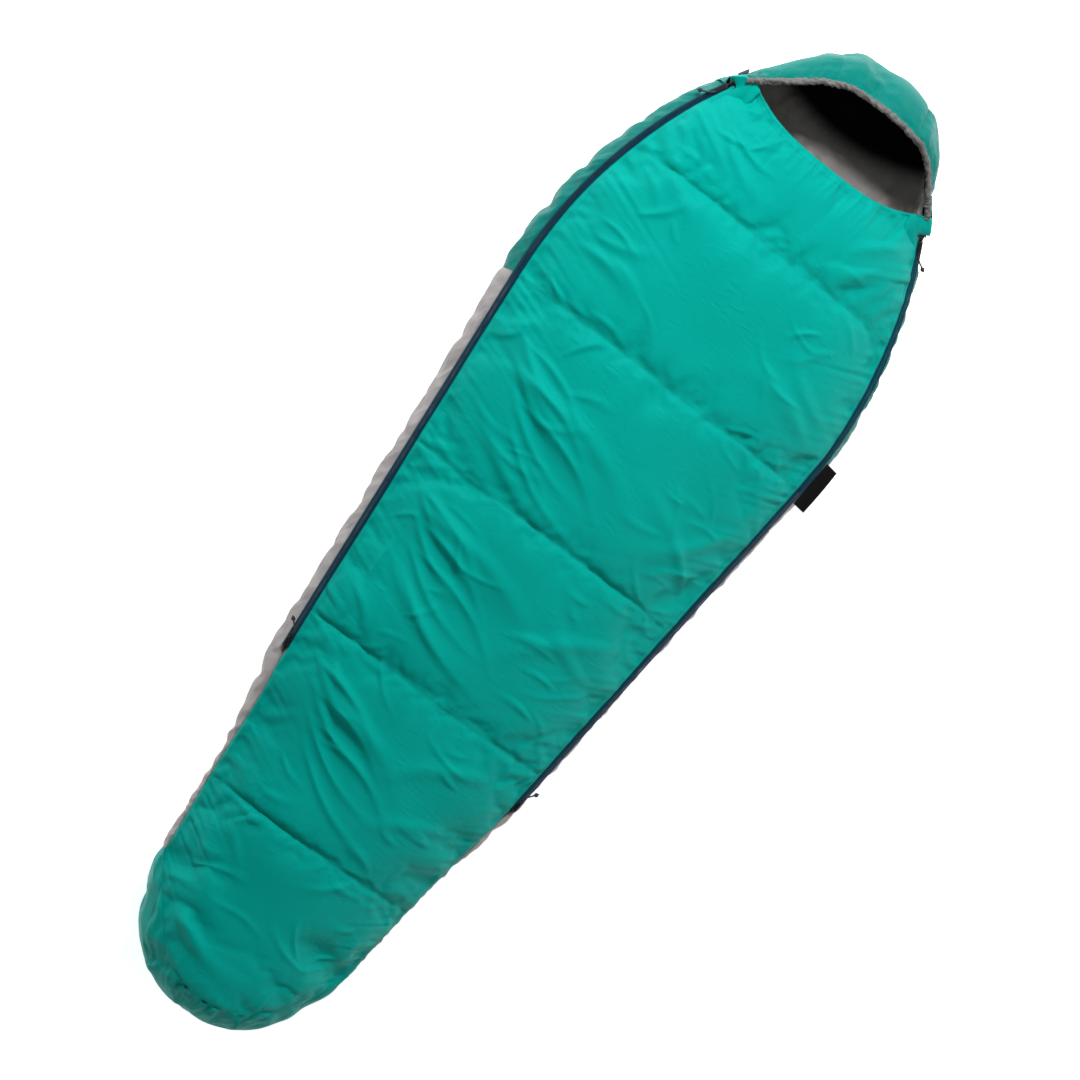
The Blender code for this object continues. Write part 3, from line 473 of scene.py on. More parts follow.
def billow(piece, held, pressure, extra, frames=24, cap=0.02, bend=0.4, seed=0.0):
    """Cloth run with the held share of each point pinned; extra is the surplus cut in.

    cap is the farthest that a point may end from where it started."""
    rest = coordinates(piece.data)
    free = (1 - np.asarray(held))[:, None]
    lift = np.array([noise.noise(Vector(p) * 60.0 + Vector((seed, 0, 0))) for p in rest])
    set_coordinates(piece.data, rest + vertex_normals(piece.data) * lift[:, None] * 0.0012 * free)
    pins = piece.vertex_groups.new(name="held")
    for share in sorted({h for h in held if h > 0}):
        pins.add([k for k, h in enumerate(held) if h == share], float(share), "REPLACE")
    cloth = piece.modifiers.new("cloth", "CLOTH")
    settings = cloth.settings
    settings.quality = 5
    settings.mass = 0.08
    settings.tension_stiffness = 12
    settings.compression_stiffness = 6
    settings.shear_stiffness = 4
    settings.bending_stiffness = bend
    settings.vertex_group_mass = "held"
    settings.pin_stiffness = 1.0
    settings.use_pressure = True
    settings.uniform_pressure_force = pressure
    settings.shrink_min = -extra
    settings.shrink_max = -extra
    settings.effector_weights.gravity = 0
    cloth.collision_settings.use_collision = False
    cloth.point_cache.frame_start = 1
    cloth.point_cache.frame_end = frames
    for frame_number in range(1, frames + 1):
        scene.frame_set(frame_number)
    moved = coordinates(piece.evaluated_get(bpy.context.evaluated_depsgraph_get()).to_mesh())
    piece.modifiers.remove(cloth)
    scene.frame_set(1)
    shift = moved - rest
    size = np.linalg.norm(shift, axis=1)
    shift *= (cap * np.tanh(size / cap) / np.maximum(size, 1e-9))[:, None]
    set_coordinates(piece.data, rest + shift)
    piece.vertex_groups.clear()
    return piece


def fold(piece, folds, free=1.0):
    """Long soft folds pressed into a panel: each runs from one place to another on it."""
    place = coordinates(piece.data)
    lift = np.zeros(len(place))
    for (x0, y0), (x1, y1), width, height in folds:
        start, line = np.array((x0, y0)), np.array((x1 - x0, y1 - y0))
        length = np.linalg.norm(line)
        along = (place[:, :2] - start) @ line / length ** 2
        side = ((place[:, 0] - x0) * line[1] - (place[:, 1] - y0) * line[0]) / length
        bow = side - 0.10 * length * np.sin(np.pi * np.clip(along, 0, 1)) * math.copysign(1, height)
        reach = np.clip(along * 3.0, 0, 1) * np.clip((1 - along) * 1.6, 0, 1)
        spread_width = width * (0.6 + 0.9 * np.clip(along, 0, 1))
        u = bow / spread_width
        lift += abs(height) * reach * reach * (3 - 2 * reach) * np.exp(-u * u) * (1 - 0.8 * u)
    set_coordinates(piece.data, place + vertex_normals(piece.data) * (lift * free)[:, None])


def gathers(distance, position, pitch, reach, depth, seed):
    """Small pleats that start at a sewn edge and die away from it."""
    lift = np.zeros(len(distance))
    for k, (away, place) in enumerate(zip(distance, position)):
        if away < reach * 4:
            phase = place / pitch
            ridge = 1.9 * abs(noise.noise(Vector((phase, seed, 0.0)))) - 0.5
            length = reach * (0.4 + 2.0 * abs(noise.noise(Vector((phase * 0.6, seed + 7.0, 0.0)))))
            lift[k] = depth * ridge * math.exp(-away / length) * (1 - math.exp(-away / 0.004))
    return lift


def raise_by(piece, lift):
    """Moves each point of a piece outwards by its own amount."""
    set_coordinates(piece.data, coordinates(piece.data) + vertex_normals(piece.data) * lift[:, None])


def smooth_finish(piece, *materials, levels=1):
    """Gives a piece its cloth, subdivides it and shades it smooth."""
    for material in materials:
        piece.data.materials.append(material)
    if levels:
        finer = piece.modifiers.new("finer", "SUBSURF")
        finer.levels = finer.render_levels = levels
        finer.boundary_smooth = "PRESERVE_CORNERS"
        mesh = bpy.data.meshes.new_from_object(piece.evaluated_get(bpy.context.evaluated_depsgraph_get()))
        piece.modifiers.remove(finer)
        piece.data = mesh
    piece.data.shade_smooth()
    return piece


def spread(breaks, counts):
    """Stations from break to break, evenly spaced in each stretch."""
    found = [breaks[0]]
    for a, b, n in zip(breaks, breaks[1:], counts):
        found += [a + (b - a) * k / n for k in range(1, n + 1)]
    return found


QUILT_SEAMS = (-0.664, -0.332, 0.010, 0.342, 0.642)
NECK_EDGE_Y, NECK_CORNER_RISE, NECK_CORNER_X = 0.814, 0.040, 0.187
ROWS = (38, 42, 44, 44, 40, 26)
COLUMNS = 82
ROLL_RADIUS = 0.008
TOP_TUCK = 0.0045            # turned under along the zips


def neck_edge_y(s):
    """The neck edge, which rises to a corner at each side."""
    end = seam_x(ZIP_TOP_Y) - TOP_EDGE
    x = abs(s) * end
    rise = NECK_CORNER_RISE * min(1.0, x / NECK_CORNER_X) ** 3
    fall = max(0.0, (x - NECK_CORNER_X) / (end - NECK_CORNER_X))
    return NECK_EDGE_Y + rise * (1 - fall) + (ZIP_TOP_Y - NECK_EDGE_Y) * fall


def seam_dip(y, depth, width):
    """Depth of the valley that the nearest quilt seam pulls."""
    nearest = min(abs(y - seam) for seam in QUILT_SEAMS)
    return depth * math.exp(-(nearest / width) ** 2)


def top_column(s, tuck=0.0):
    """One column of the top cover; tuck turns the outermost ones under along the zip."""
    edge = max(-1.0, min(1.0, s))
    roll = ROLL_RADIUS * (1 - 0.7 * abs(edge) ** 6)
    end = neck_edge_y(edge) - roll
    stations = spread([foot_seam(edge), *QUILT_SEAMS, end], ROWS)
    column = []
    for y in stations:
        p = top_place(edge, y)
        p.z -= seam_dip(y, depth=0.0026, width=0.007) * (1 - abs(edge) ** 6)
        column.append(p)
    last = column[-1].copy()
    for k in range(1, 7):
        turn = math.pi * k / 6
        column.append(last + Vector((0, roll * math.sin(turn), -roll * (1 - math.cos(turn)))))
    column.append(column[-1] + Vector((0, -0.03, -0.001)))
    if tuck:
        for p in column:
            p.x -= math.copysign(tuck * 0.8, edge)
            p.z -= tuck
    return column


def row_sums(rows):
    """Numbers of the rows at which a panel's stretches end, from 0."""
    return [sum(rows[:k]) for k in range(len(rows) + 1)]


shares = [-1 + 2 * k / COLUMNS for k in range(COLUMNS + 1)]
columns = [top_column(-1, TOP_TUCK)] + [top_column(s) for s in shares] + [top_column(1, TOP_TUCK)]
seam_rows = row_sums(ROWS)[1:-1]
row_count = len(columns[0])
last_row = sum(ROWS)
held = []
for i in range(len(columns)):
    edge = i in (0, 1, len(columns) - 2, len(columns) - 1)
    held += [1.0 if edge or j in seam_rows or j == 0 or j >= last_row + 2 else 0.0
             for j in range(row_count)]
top_cover = grid_mesh("top_cover", columns)
billow(top_cover, held, pressure=0.6, extra=0.05, frames=26, cap=0.010)
rng = np.random.default_rng(11)
TOP_FOLDS = [
    ((-0.30, 0.30), (0.10, 0.10), 0.020, 0.006), ((-0.29, 0.25), (0.05, 0.16), 0.013, 0.004),
    ((-0.28, 0.20), (0.16, 0.07), 0.017, -0.006), ((-0.27, 0.14), (0.10, -0.00), 0.015, 0.005),
    ((-0.29, 0.44), (-0.10, 0.40), 0.013, -0.005), ((-0.28, 0.47), (-0.13, 0.52), 0.010, 0.003),
    ((0.29, 0.40), (0.05, 0.46), 0.018, 0.006), ((0.30, 0.45), (0.12, 0.56), 0.014, -0.004),
    ((0.28, 0.24), (0.06, 0.06), 0.018, -0.005), ((0.27, 0.06), (0.02, 0.20), 0.014, 0.004),
    ((-0.26, -0.02), (0.06, -0.14), 0.018, 0.006), ((-0.25, -0.08), (0.14, -0.20), 0.016, -0.005),
    ((-0.24, -0.15), (0.10, -0.28), 0.014, 0.005), ((0.25, -0.06), (0.00, -0.26), 0.018, 0.005),
    ((0.24, -0.16), (0.05, -0.05), 0.015, -0.004), ((-0.22, -0.36), (0.08, -0.47), 0.016, 0.005),
    ((-0.21, -0.43), (0.12, -0.56), 0.016, -0.005), ((0.21, -0.38), (-0.02, -0.52), 0.016, 0.005),
    ((0.20, -0.50), (0.00, -0.62), 0.013, 0.004), ((-0.18, -0.72), (-0.02, -0.90), 0.022, 0.006),
    ((0.17, -0.70), (0.08, -0.92), 0.020, -0.005), ((-0.16, -0.86), (0.06, -0.94), 0.016, 0.006),
    ((-0.19, 0.76), (-0.04, 0.68), 0.011, 0.004), ((0.19, 0.74), (0.06, 0.66), 0.012, -0.004),
    ((0.21, 0.79), (0.10, 0.70), 0.010, 0.004), ((-0.24, 0.68), (-0.12, 0.58), 0.014, 0.004),
]
for _ in range(110):
    y = rng.uniform(-0.9, 0.8)
    side = rng.choice((-1, 1))
    x = side * seam_x(y) * rng.uniform(0.45, 0.97)
    length = rng.uniform(0.06, 0.16)
    lean = rng.normal(0.0, 0.55)
    TOP_FOLDS.append(((x, y), (x - side * length * math.cos(lean), y + length * math.sin(lean)),
                      rng.uniform(0.004, 0.009), rng.choice((-1, 1)) * rng.uniform(0.0016, 0.0036)))
TOP_FOLDS += [((x + 0.02 * k * 0.5, y - 0.022 * k), (x + 0.20 + 0.03 * k, y - 0.10 - 0.028 * k),
               0.0075, 0.0042 * (-1) ** k) for x, y in ((-0.27, 0.28), (-0.26, -0.03), (-0.22, -0.37))
              for k in range(7)]
smooth_finish(top_cover, TEAL)
place = coordinates(top_cover.data)
half_width = np.array([seam_x(min(y, ZIP_TOP_Y)) - TOP_EDGE for y in place[:, 1]])
share_of = np.clip(place[:, 0] / half_width, -1, 1)
to_zip = (1 - np.abs(share_of)) * 0.24
to_neck = np.maximum(np.array([neck_edge_y(a) for a in share_of]) - place[:, 1] - 0.004, 0.0)
to_quilt = np.min(np.abs(place[:, 1:2] - np.array(QUILT_SEAMS)), axis=1)
to_foot = np.maximum(place[:, 1] - np.array([foot_seam(a) for a in share_of]), 0.0)
nearest = np.minimum(np.minimum(to_zip, to_neck), np.minimum(to_quilt * 1.5, to_foot))
free = 1 - np.exp(-nearest / 0.008)
fold(top_cover, TOP_FOLDS, free)
lift = gathers(to_zip, place[:, 1] + 0.5 * to_zip, pitch=0.017, reach=0.045, depth=0.0060, seed=1.0)
lift += gathers(to_neck, place[:, 0] + 0.2 * to_neck, pitch=0.014, reach=0.040, depth=0.0058, seed=2.0)
lift += gathers(to_quilt, place[:, 0] + place[:, 1] * 3.0, pitch=0.010, reach=0.013, depth=0.0030, seed=3.0)
lift += gathers(to_foot, place[:, 0], pitch=0.016, reach=0.024, depth=0.0048, seed=4.0)
swell = np.array([noise.noise(Vector((x * 7 + y * 4, y * 6 - x * 2, 1.5))) for x, y, _ in place])
raise_by(top_cover, (lift + 0.0075 * swell) * free)
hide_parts("top_legs_shell", "flap_shell", "top_legs_insulation", "flap_insulation")
FOLD_START_Y, FOLD_END_Y = 0.318, 0.366
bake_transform(top_cover)

# ---- Top lining --------------------------------------------------------------------------
# Grey taffeta under the filling, caught up to the shell along every quilt seam and at the
# zips, and sewn to the cover's turned-under neck edge.

LOFT = 0.0195
TOP_LINING_ROWS = (26, 28, 28, 28, 26, 16)
LINING = fabric("grey_taffeta_lining", (0.20, 0.185, 0.18), (0.30, 0.28, 0.275), roughness=0.5,
                rip=0.05, crease=1.6, tint=(1.0, 0.98, 0.97))


def crumple(piece, scale, depth, seed):
    """Creases pressed into thin cloth in every direction."""
    place = coordinates(piece.data)
    lift = [abs(noise.noise(Vector(p) * scale + Vector((0, 0, seed)))) * 2 - 0.45 for p in place]
    raise_by(piece, np.array(lift) * depth)


def lining_depth(s, y):
    """Depth of the lining below the shell."""
    quilted = math.exp(-(min(abs(y - seam) for seam in QUILT_SEAMS) / 0.022) ** 2)
    edge = min(1.0, (1 - abs(s)) * 9.0)
    return 0.0042 + (LOFT - 0.0042) * (1 - 0.6 * quilted) * edge


shares = [-1 + 2 * k / 56 for k in range(57)]
columns = []
for s in shares:
    ends = (foot_seam(s) + 0.002, neck_edge_y(s) - 0.026)
    stations = spread([ends[0], *QUILT_SEAMS, ends[1]], TOP_LINING_ROWS)
    columns.append([top_place(s, y) - Vector((0, 0, lining_depth(s, y))) for y in stations])
held = [1.0 if i in (0, len(columns) - 1) or j in row_sums(TOP_LINING_ROWS) else 0.0
        for i in range(len(columns)) for j in range(len(columns[0]))]
top_lining = grid_mesh("top_lining", columns, flip=True)
billow(top_lining, held, pressure=0.5, extra=0.05, frames=16, cap=0.007, seed=21.0)
smooth_finish(top_lining, LINING)
crumple(top_lining, scale=26.0, depth=0.0030, seed=2.0)
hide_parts("top_legs_lining", "flap_lining")
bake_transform(top_lining)

# ---- Back panels -------------------------------------------------------------------------
# The back lies flat on the floor and rolls up to the zips: grey from the foot to the chest,
# teal above, quilted at the same heights as the top.

BACK_COLUMNS_FLAT, BACK_COLUMNS_SIDE = 26, 18
COLOUR_SEAM_Y = 0.335
BACK_TUCK = 0.005
BACK_ROWS = (34, 34, 34, 34, 32, 20)
GREY = fabric("grey_nylon", (0.30, 0.285, 0.28), (0.38, 0.36, 0.355), roughness=0.5, rip=0.15,
              tint=(1.0, 0.98, 0.97))
# A darker copy of the teal ripstop, painted shade: the hood and the back's teal panel are the same teal as
# the top, darkened for the lesser light on them.
SHADED_TEAL = fabric("shaded_teal_ripstop_nylon", (0.0, 0.155, 0.130), (0.0, 0.205, 0.175),
                   tint=(0.1, 1.0, 0.9))


def rest_on_floor(piece):
    """Lifts what hangs below the floor up to it."""
    place = coordinates(piece.data)
    place[:, 2] = np.maximum(place[:, 2], 0.0)
    set_coordinates(piece.data, place)


def colour_seam(s):
    """Height of the grey panel's top edge, which bows up towards the zips."""
    return COLOUR_SEAM_Y + 0.006 * abs(s) ** 4


def back_foot(s):
    """Where the foot seam runs on the back panel."""
    return foot_seam(back_place(s, FOOT_SEAM_SIDE_Y).x / seam_x(FOOT_SEAM_SIDE_Y))


def back_shares():
    """Columns of the back panel, closer together on the rolled sides."""
    side = [FLAT_SHARE + (1 - FLAT_SHARE) * k / BACK_COLUMNS_SIDE for k in range(BACK_COLUMNS_SIDE + 1)]
    middle = [FLAT_SHARE * k / (BACK_COLUMNS_FLAT // 2) for k in range(BACK_COLUMNS_FLAT // 2)]
    half = middle + side
    return [-a for a in half[:0:-1]] + half


def back_stations(s):
    """Rows of the back panel, with one on every seam."""
    breaks = [back_foot(s), *QUILT_SEAMS[:3], colour_seam(s), QUILT_SEAMS[4], ZIP_TOP_Y + 0.0006]
    return spread(breaks, BACK_ROWS)


def tucked(column, tuck):
    """A column turned in and down, under the zip tape."""
    return [Vector((p.x - math.copysign(tuck, p.x), p.y, p.z - tuck)) for p in column]


columns = []
for s in back_shares():
    column = []
    for y in back_stations(s):
        p = back_place(s, y)
        inward = Vector((-math.copysign(1.0, s), 0, -0.3)) * seam_dip(y, depth=0.003, width=0.008)
        rolled = max(0.0, (abs(s) - FLAT_SHARE - 0.05) / 0.3)
        column.append(p + inward * min(1.0, rolled) * (1 - abs(s) ** 12))
    columns.append(column)
columns = [tucked(columns[0], BACK_TUCK)] + columns + [tucked(columns[-1], BACK_TUCK)]
seam_rows = row_sums(BACK_ROWS)[1:-1]
row_count = len(columns[0])
held = []
for i, column in enumerate(columns):
    edge = i in (0, 1, len(columns) - 2, len(columns) - 1)
    for j, p in enumerate(column):
        held.append(1.0 if edge or j in seam_rows or j in (0, row_count - 1) or p.z < 0.004 else 0.0)
back_cover = grid_mesh("back_cover", columns, flip=True)
billow(back_cover, held, pressure=1.0, extra=0.05, frames=22, cap=0.009, seed=5.0)
rest_on_floor(back_cover)
back_points = coordinates(back_cover.data).reshape(len(columns), row_count, 3)
split = seam_rows[3]
bpy.data.objects.remove(back_cover)
back_pieces = []
for name, part, cloth, slot, nodes in (
        ("back_cover_grey", slice(0, split + 1), GREY, "grey_shell",
         ("back_shell_grey", "back_insulation")),
        ("back_cover_teal", slice(split, None), SHADED_TEAL, "teal_shell", ("back_shell_teal",))):
    piece = smooth_finish(grid_mesh(name, back_points[:, part], flip=True), cloth)
    place = coordinates(piece.data)
    to_zip = np.maximum(ZIP_HEIGHT - 0.004 - place[:, 2], 0.0)
    to_quilt = np.min(np.abs(place[:, 1:2] - np.array(QUILT_SEAMS)), axis=1)
    lift = gathers(to_zip, place[:, 1] + 0.8 * to_zip, pitch=0.015, reach=0.030, depth=0.0050, seed=5.0)
    lift += gathers(to_quilt, place[:, 2] + place[:, 1] * 2.0,
                    pitch=0.010, reach=0.012, depth=0.0026, seed=6.0)
    raise_by(piece, lift * np.clip(place[:, 2] / 0.02, 0, 1) * (1 - np.exp(-to_zip / 0.005)))
    rest_on_floor(piece)
    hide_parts(*nodes)
    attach(piece, "root")
    back_pieces.append(piece)

# ---- Back lining -------------------------------------------------------------------------
# The same grey taffeta lines the back, a loft above the shell. It is sewn in at both zips
# and caught to the shell along the quilt seams.

BACK_LINING_ROWS = (22, 24, 24, 24, 22, 14)
columns = []
for s in [a / 30 for a in range(-30, 31)]:
    column = []
    for y in spread([back_foot(s) + 0.002, *QUILT_SEAMS, ZIP_TOP_Y], BACK_LINING_ROWS):
        p = back_place(s, y)
        half, radius = seam_x(y), side_radius(y)
        quilted = math.exp(-(min(abs(y - seam) for seam in QUILT_SEAMS) / 0.022) ** 2)
        depth = 0.004 + (LOFT - 0.004) * (1 - 0.6 * quilted) * min(1.0, (1 - abs(s)) * 7.0)
        middle = Vector((math.copysign(half - radius, s), y, radius))
        inward = (middle - p).normalized() if abs(s) > FLAT_SHARE else Vector((0, 0, 1))
        column.append(p + inward * depth)
    columns.append(column)
held = [1.0 if i in (0, len(columns) - 1) or j in row_sums(BACK_LINING_ROWS) else 0.0
        for i in range(len(columns)) for j in range(len(columns[0]))]
back_lining = grid_mesh("back_lining_cloth", columns)
billow(back_lining, held, pressure=0.5, extra=0.05, frames=16, cap=0.007, seed=23.0)
smooth_finish(back_lining, LINING)
crumple(back_lining, scale=26.0, depth=0.0030, seed=5.0)
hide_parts("back_lining")
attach(back_lining, "root")

# ---- Foot panel --------------------------------------------------------------------------
# A domed teal end panel, sewn round the foot seam, which is gathered at the middle of the
# top edge.

FOOT_MIDDLE_Z = 0.066
FOOT_TURNS = 22
TIP_REACH = 0.004            # the hole left at the tip lies within this of the end


def foot_place(point, turn):
    """Point of the foot dome, from a point of its seam at 0 to the tip."""
    shrink = math.cos(turn)
    return Vector((point.x * shrink, point.y - (point.y - FOOT_Y) * math.sin(turn),
                   FOOT_MIDDLE_Z + (point.z - FOOT_MIDDLE_Z) * shrink))


def close_tip(piece, limit):
    """Fills the small hole at the far end of a foot dome, below the limit."""
    closed = bmesh.new()
    closed.from_mesh(piece.data)
    tip = [e for e in closed.edges if e.is_boundary and min(v.co.y for v in e.verts) < limit]
    bmesh.ops.holes_fill(closed, edges=tip)
    closed.to_mesh(piece.data)
    closed.free()


ring = [back_place(s, back_foot(s)) for s in back_shares()]
ring += [top_place(s, foot_seam(s)) for s in [1 - 2 * k / 60 for k in range(1, 60)]]
columns = []
for p in ring:
    turns = [math.radians(88.5) * k / FOOT_TURNS for k in range(FOOT_TURNS + 1)]
    columns.append([foot_place(p, t) for t in turns])
held = []
for i, column in enumerate(columns):
    held += [1.0 if j in (0, FOOT_TURNS) or p.z < 0.003 else 0.0 for j, p in enumerate(column)]
foot_cover = grid_mesh("foot_cover", columns, ring=True)
billow(foot_cover, held, pressure=1.0, extra=0.05, frames=20, cap=0.010, seed=9.0)
FOOT_FOLDS = [((x, -0.975), (x * 1.1, -1.02), 0.006, height) for x, height in (
    (-0.09, 0.004), (-0.06, -0.004), (-0.035, 0.004), (0.0, -0.004), (0.03, 0.003), (0.07, -0.003))]
rest_on_floor(foot_cover)
close_tip(foot_cover, FOOT_Y + TIP_REACH)
smooth_finish(foot_cover, TEAL)
fold(foot_cover, FOOT_FOLDS)
place = coordinates(foot_cover.data)
seam_line = np.array([foot_seam(x / seam_x(FOOT_SEAM_SIDE_Y)) for x in place[:, 0]])
from_seam = np.maximum(seam_line - place[:, 1], 0.0)
around = np.arctan2(place[:, 2] - FOOT_MIDDLE_Z, place[:, 0]) * 0.12
lift = gathers(from_seam, around, pitch=0.017, reach=0.026, depth=0.0050, seed=8.0)
raise_by(foot_cover, lift * np.clip(place[:, 2] / 0.01, 0, 1))
rest_on_floor(foot_cover)
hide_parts("foot_panel", "foot_insulation")
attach(foot_cover, "root")

# The foot's lining is a smaller cup of the same taffeta as the back's.

LINING_SHORTER = 0.022
columns = []
for p in ring:
    inner = Vector((p.x * 0.93, p.y, FOOT_MIDDLE_Z + (p.z - FOOT_MIDDLE_Z) * 0.70))
    turns = [math.radians(86) * k / 10 for k in range(11)]
    columns.append([foot_place(inner, t) + Vector((0, LINING_SHORTER * math.sin(t), 0)) for t in turns])
foot_lining = grid_mesh("foot_lining_cloth", columns, ring=True, flip=True)
close_tip(foot_lining, FOOT_Y + LINING_SHORTER + TIP_REACH)
smooth_finish(foot_lining, LINING)
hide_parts("foot_lining")
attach(foot_lining, "root")

# ---- Hood --------------------------------------------------------------------------------
# Three teal panels sewn to the neck of the back: a centre panel over the head and one at
# each side. The hood is lined in dark taffeta and gathered by the hem round the face.

HOOD_HEIGHT, HOOD_EQUATOR_Z, HOOD_EAR_DEPTH = 0.196, 0.066, 0.012
HOOD_AXIS_Y = ZIP_TOP_Y + 0.0006
RIM_ANGLE = 52.0
CENTRE_PANEL_X = 0.090
EAR = back_place(1.0, ZIP_TOP_Y)
HOOD_REACH = HOOD_TIP_Y - HOOD_AXIS_Y - HOOD_EAR_DEPTH
HOOD_LEAN = 0.13             # how far the filled hood lies over to the right, as a share
HOOD_OUTLINE_X = (0.0, 0.375, 0.56, 0.83, 1.0)
HOOD_OUTLINE_REACH = (HOOD_EAR_DEPTH + HOOD_REACH, 0.197, 0.163, 0.070, HOOD_EAR_DEPTH)


def hood_form(x):
    """Reach ahead, middle height and rise of the hood at a place across it."""
    across = x / EAR.x
    share = abs(across)
    leaning = min(abs(across - HOOD_LEAN * (1 - across * across)), 1.0)
    outline = float(np.interp(leaning, HOOD_OUTLINE_X, HOOD_OUTLINE_REACH))
    reach = 0.85 * outline + 0.15 * (HOOD_EAR_DEPTH + HOOD_REACH * (1 - leaning ** 2.2))
    middle = HOOD_EQUATOR_Z + (EAR.z - HOOD_EQUATOR_Z) * share ** 4
    rise = HOOD_EAR_DEPTH + (HOOD_HEIGHT - HOOD_EQUATOR_Z - HOOD_EAR_DEPTH) * (1 - share ** 2.4)
    return reach, middle, rise


def hood_place(s, turn):
    """Point of the hood: turn runs from -90 degrees under the neck over the tip."""
    base = back_place(s, ZIP_TOP_Y)
    flat_end = back_place(FLAT_SHARE, ZIP_TOP_Y).x
    a = min(abs(s), 1.0)
    x = base.x
    if a > FLAT_SHARE:
        x = math.copysign(flat_end + (EAR.x - flat_end) * (a - FLAT_SHARE) / (1 - FLAT_SHARE), s)
    reach, middle, rise = hood_form(x)
    y = HOOD_AXIS_Y + reach * math.cos(turn)
    if turn <= 0:
        x = base.x + (x - base.x) * math.cos(turn)
        return Vector((x, y, middle + (base.z - middle) * -math.sin(turn)))
    return Vector((x, y, middle + rise * math.sin(turn)))


HOOD_ROWS = 46
low, high = math.radians(-90), math.radians(RIM_ANGLE - 1.5)
columns = []
for s in back_shares():
    column = []
    for k in range(HOOD_ROWS + 1):
        p = hood_place(s, low + (high - low) * k / HOOD_ROWS)
        dent = 0.0035 * math.exp(-((abs(p.x) - CENTRE_PANEL_X) / 0.006) ** 2)
        inward = (Vector((0, HOOD_AXIS_Y + 0.02, 0.07)) - p).normalized()
        column.append(p + inward * dent * min(1.0, k / 6))
    columns.append(column)
held = []
for i, column in enumerate(columns):
    for j, p in enumerate(column):
        seam = abs(abs(p.x) - CENTRE_PANEL_X) < 0.006 and j % 2 == 0
        fixed = i in (0, len(columns) - 1) or j in (0, HOOD_ROWS) or p.z < 0.003
        held.append(1.0 if fixed else (0.3 if seam else 0.0))
hood_cover = grid_mesh("hood_cover", columns, flip=True)
billow(hood_cover, held, pressure=0.8, extra=0.045, frames=22, cap=0.006, seed=3.0)
rest_on_floor(hood_cover)
# Painted shade: the hood takes the darkened copy of the teal.
smooth_finish(hood_cover, SHADED_TEAL)
place = coordinates(hood_cover.data)
forms = np.array([hood_form(max(-EAR.x, min(EAR.x, x))) for x in place[:, 0]])
rise = np.arctan2((place[:, 2] - forms[:, 1]) / forms[:, 2], (place[:, 1] - HOOD_AXIS_Y) / forms[:, 0])
to_rim = np.maximum(math.radians(RIM_ANGLE - 1) - rise, 0.0) * 0.16
to_seam = np.abs(np.abs(place[:, 0]) - CENTRE_PANEL_X)
lift = gathers(to_rim, place[:, 0] * 1.1 + to_rim * 0.3, pitch=0.015, reach=0.042, depth=0.0085, seed=12.0)
lift += gathers(to_seam, rise * 0.15, pitch=0.012, reach=0.014, depth=0.0026, seed=13.0)
swell = np.array([noise.noise(Vector((x * 14, y * 14, z * 14))) for x, y, z in place])
free = np.clip(place[:, 2] / 0.02, 0, 1) * (1 - np.exp(-to_rim / 0.006))
groove = 0.0030 * np.exp(-(to_seam / 0.0035) ** 2)
raise_by(hood_cover, (lift + 0.006 * swell - groove) * free)
rest_on_floor(hood_cover)
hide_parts("hood_centre_panel", "hood_side_panel_left", "hood_side_panel_right",
            "hood_insulation")
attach(hood_cover, "root")

# Its lining is dark taffeta, a loft inside the shell, with painted light towards the neck: the cloth is
# lightened to grey there to stand for light falling in through the face opening. It is sewn to the grey
# lining of the back round the neck.

HOOD_LINING = fabric("dark_taffeta_lining", (0.004, 0.0035, 0.0035), (0.008, 0.007, 0.0065), roughness=0.6,
                     rip=0.05, crease=1.6, tint=(0.6, 0.58, 0.56), sheen=0.0, specular=0.04)
NECK_BEND = 1.4              # the lines curve towards the foot at both sides


def paint_neck_light(material, near, far, light):
    """Paints light into a cloth towards the neck, between two curved lines across the bag: a painted pool
    of light from the face opening.
    """
    tree = material.node_tree
    shader = tree.nodes["Principled BSDF"]
    colour = shader.inputs["Base Color"].links[0].from_socket
    place = add_node(tree, "ShaderNodeTexCoord")
    split = add_node(tree, "ShaderNodeSeparateXYZ")
    curve = add_node(tree, "ShaderNodeMath", operation="MULTIPLY")
    away = add_node(tree, "ShaderNodeMath", operation="MULTIPLY_ADD")
    away.inputs[1].default_value = -NECK_BEND
    reach = add_node(tree, "ShaderNodeMapRange", interpolation_type="SMOOTHSTEP")
    reach.inputs["From Min"].default_value = near
    reach.inputs["From Max"].default_value = far
    mix = add_node(tree, "ShaderNodeMix", data_type="RGBA")
    mix.inputs["A"].default_value = (*light, 1.0)
    link = tree.links.new
    link(place.outputs["Object"], split.inputs[0])
    link(split.outputs["X"], curve.inputs[0])
    link(split.outputs["X"], curve.inputs[1])
    link(curve.outputs[0], away.inputs[0])
    link(split.outputs["Y"], away.inputs[2])
    link(away.outputs[0], reach.inputs["Value"])
    link(reach.outputs["Result"], mix.inputs["Factor"])
    link(colour, mix.inputs["B"])
    link(mix.outputs["Result"], shader.inputs["Base Color"])


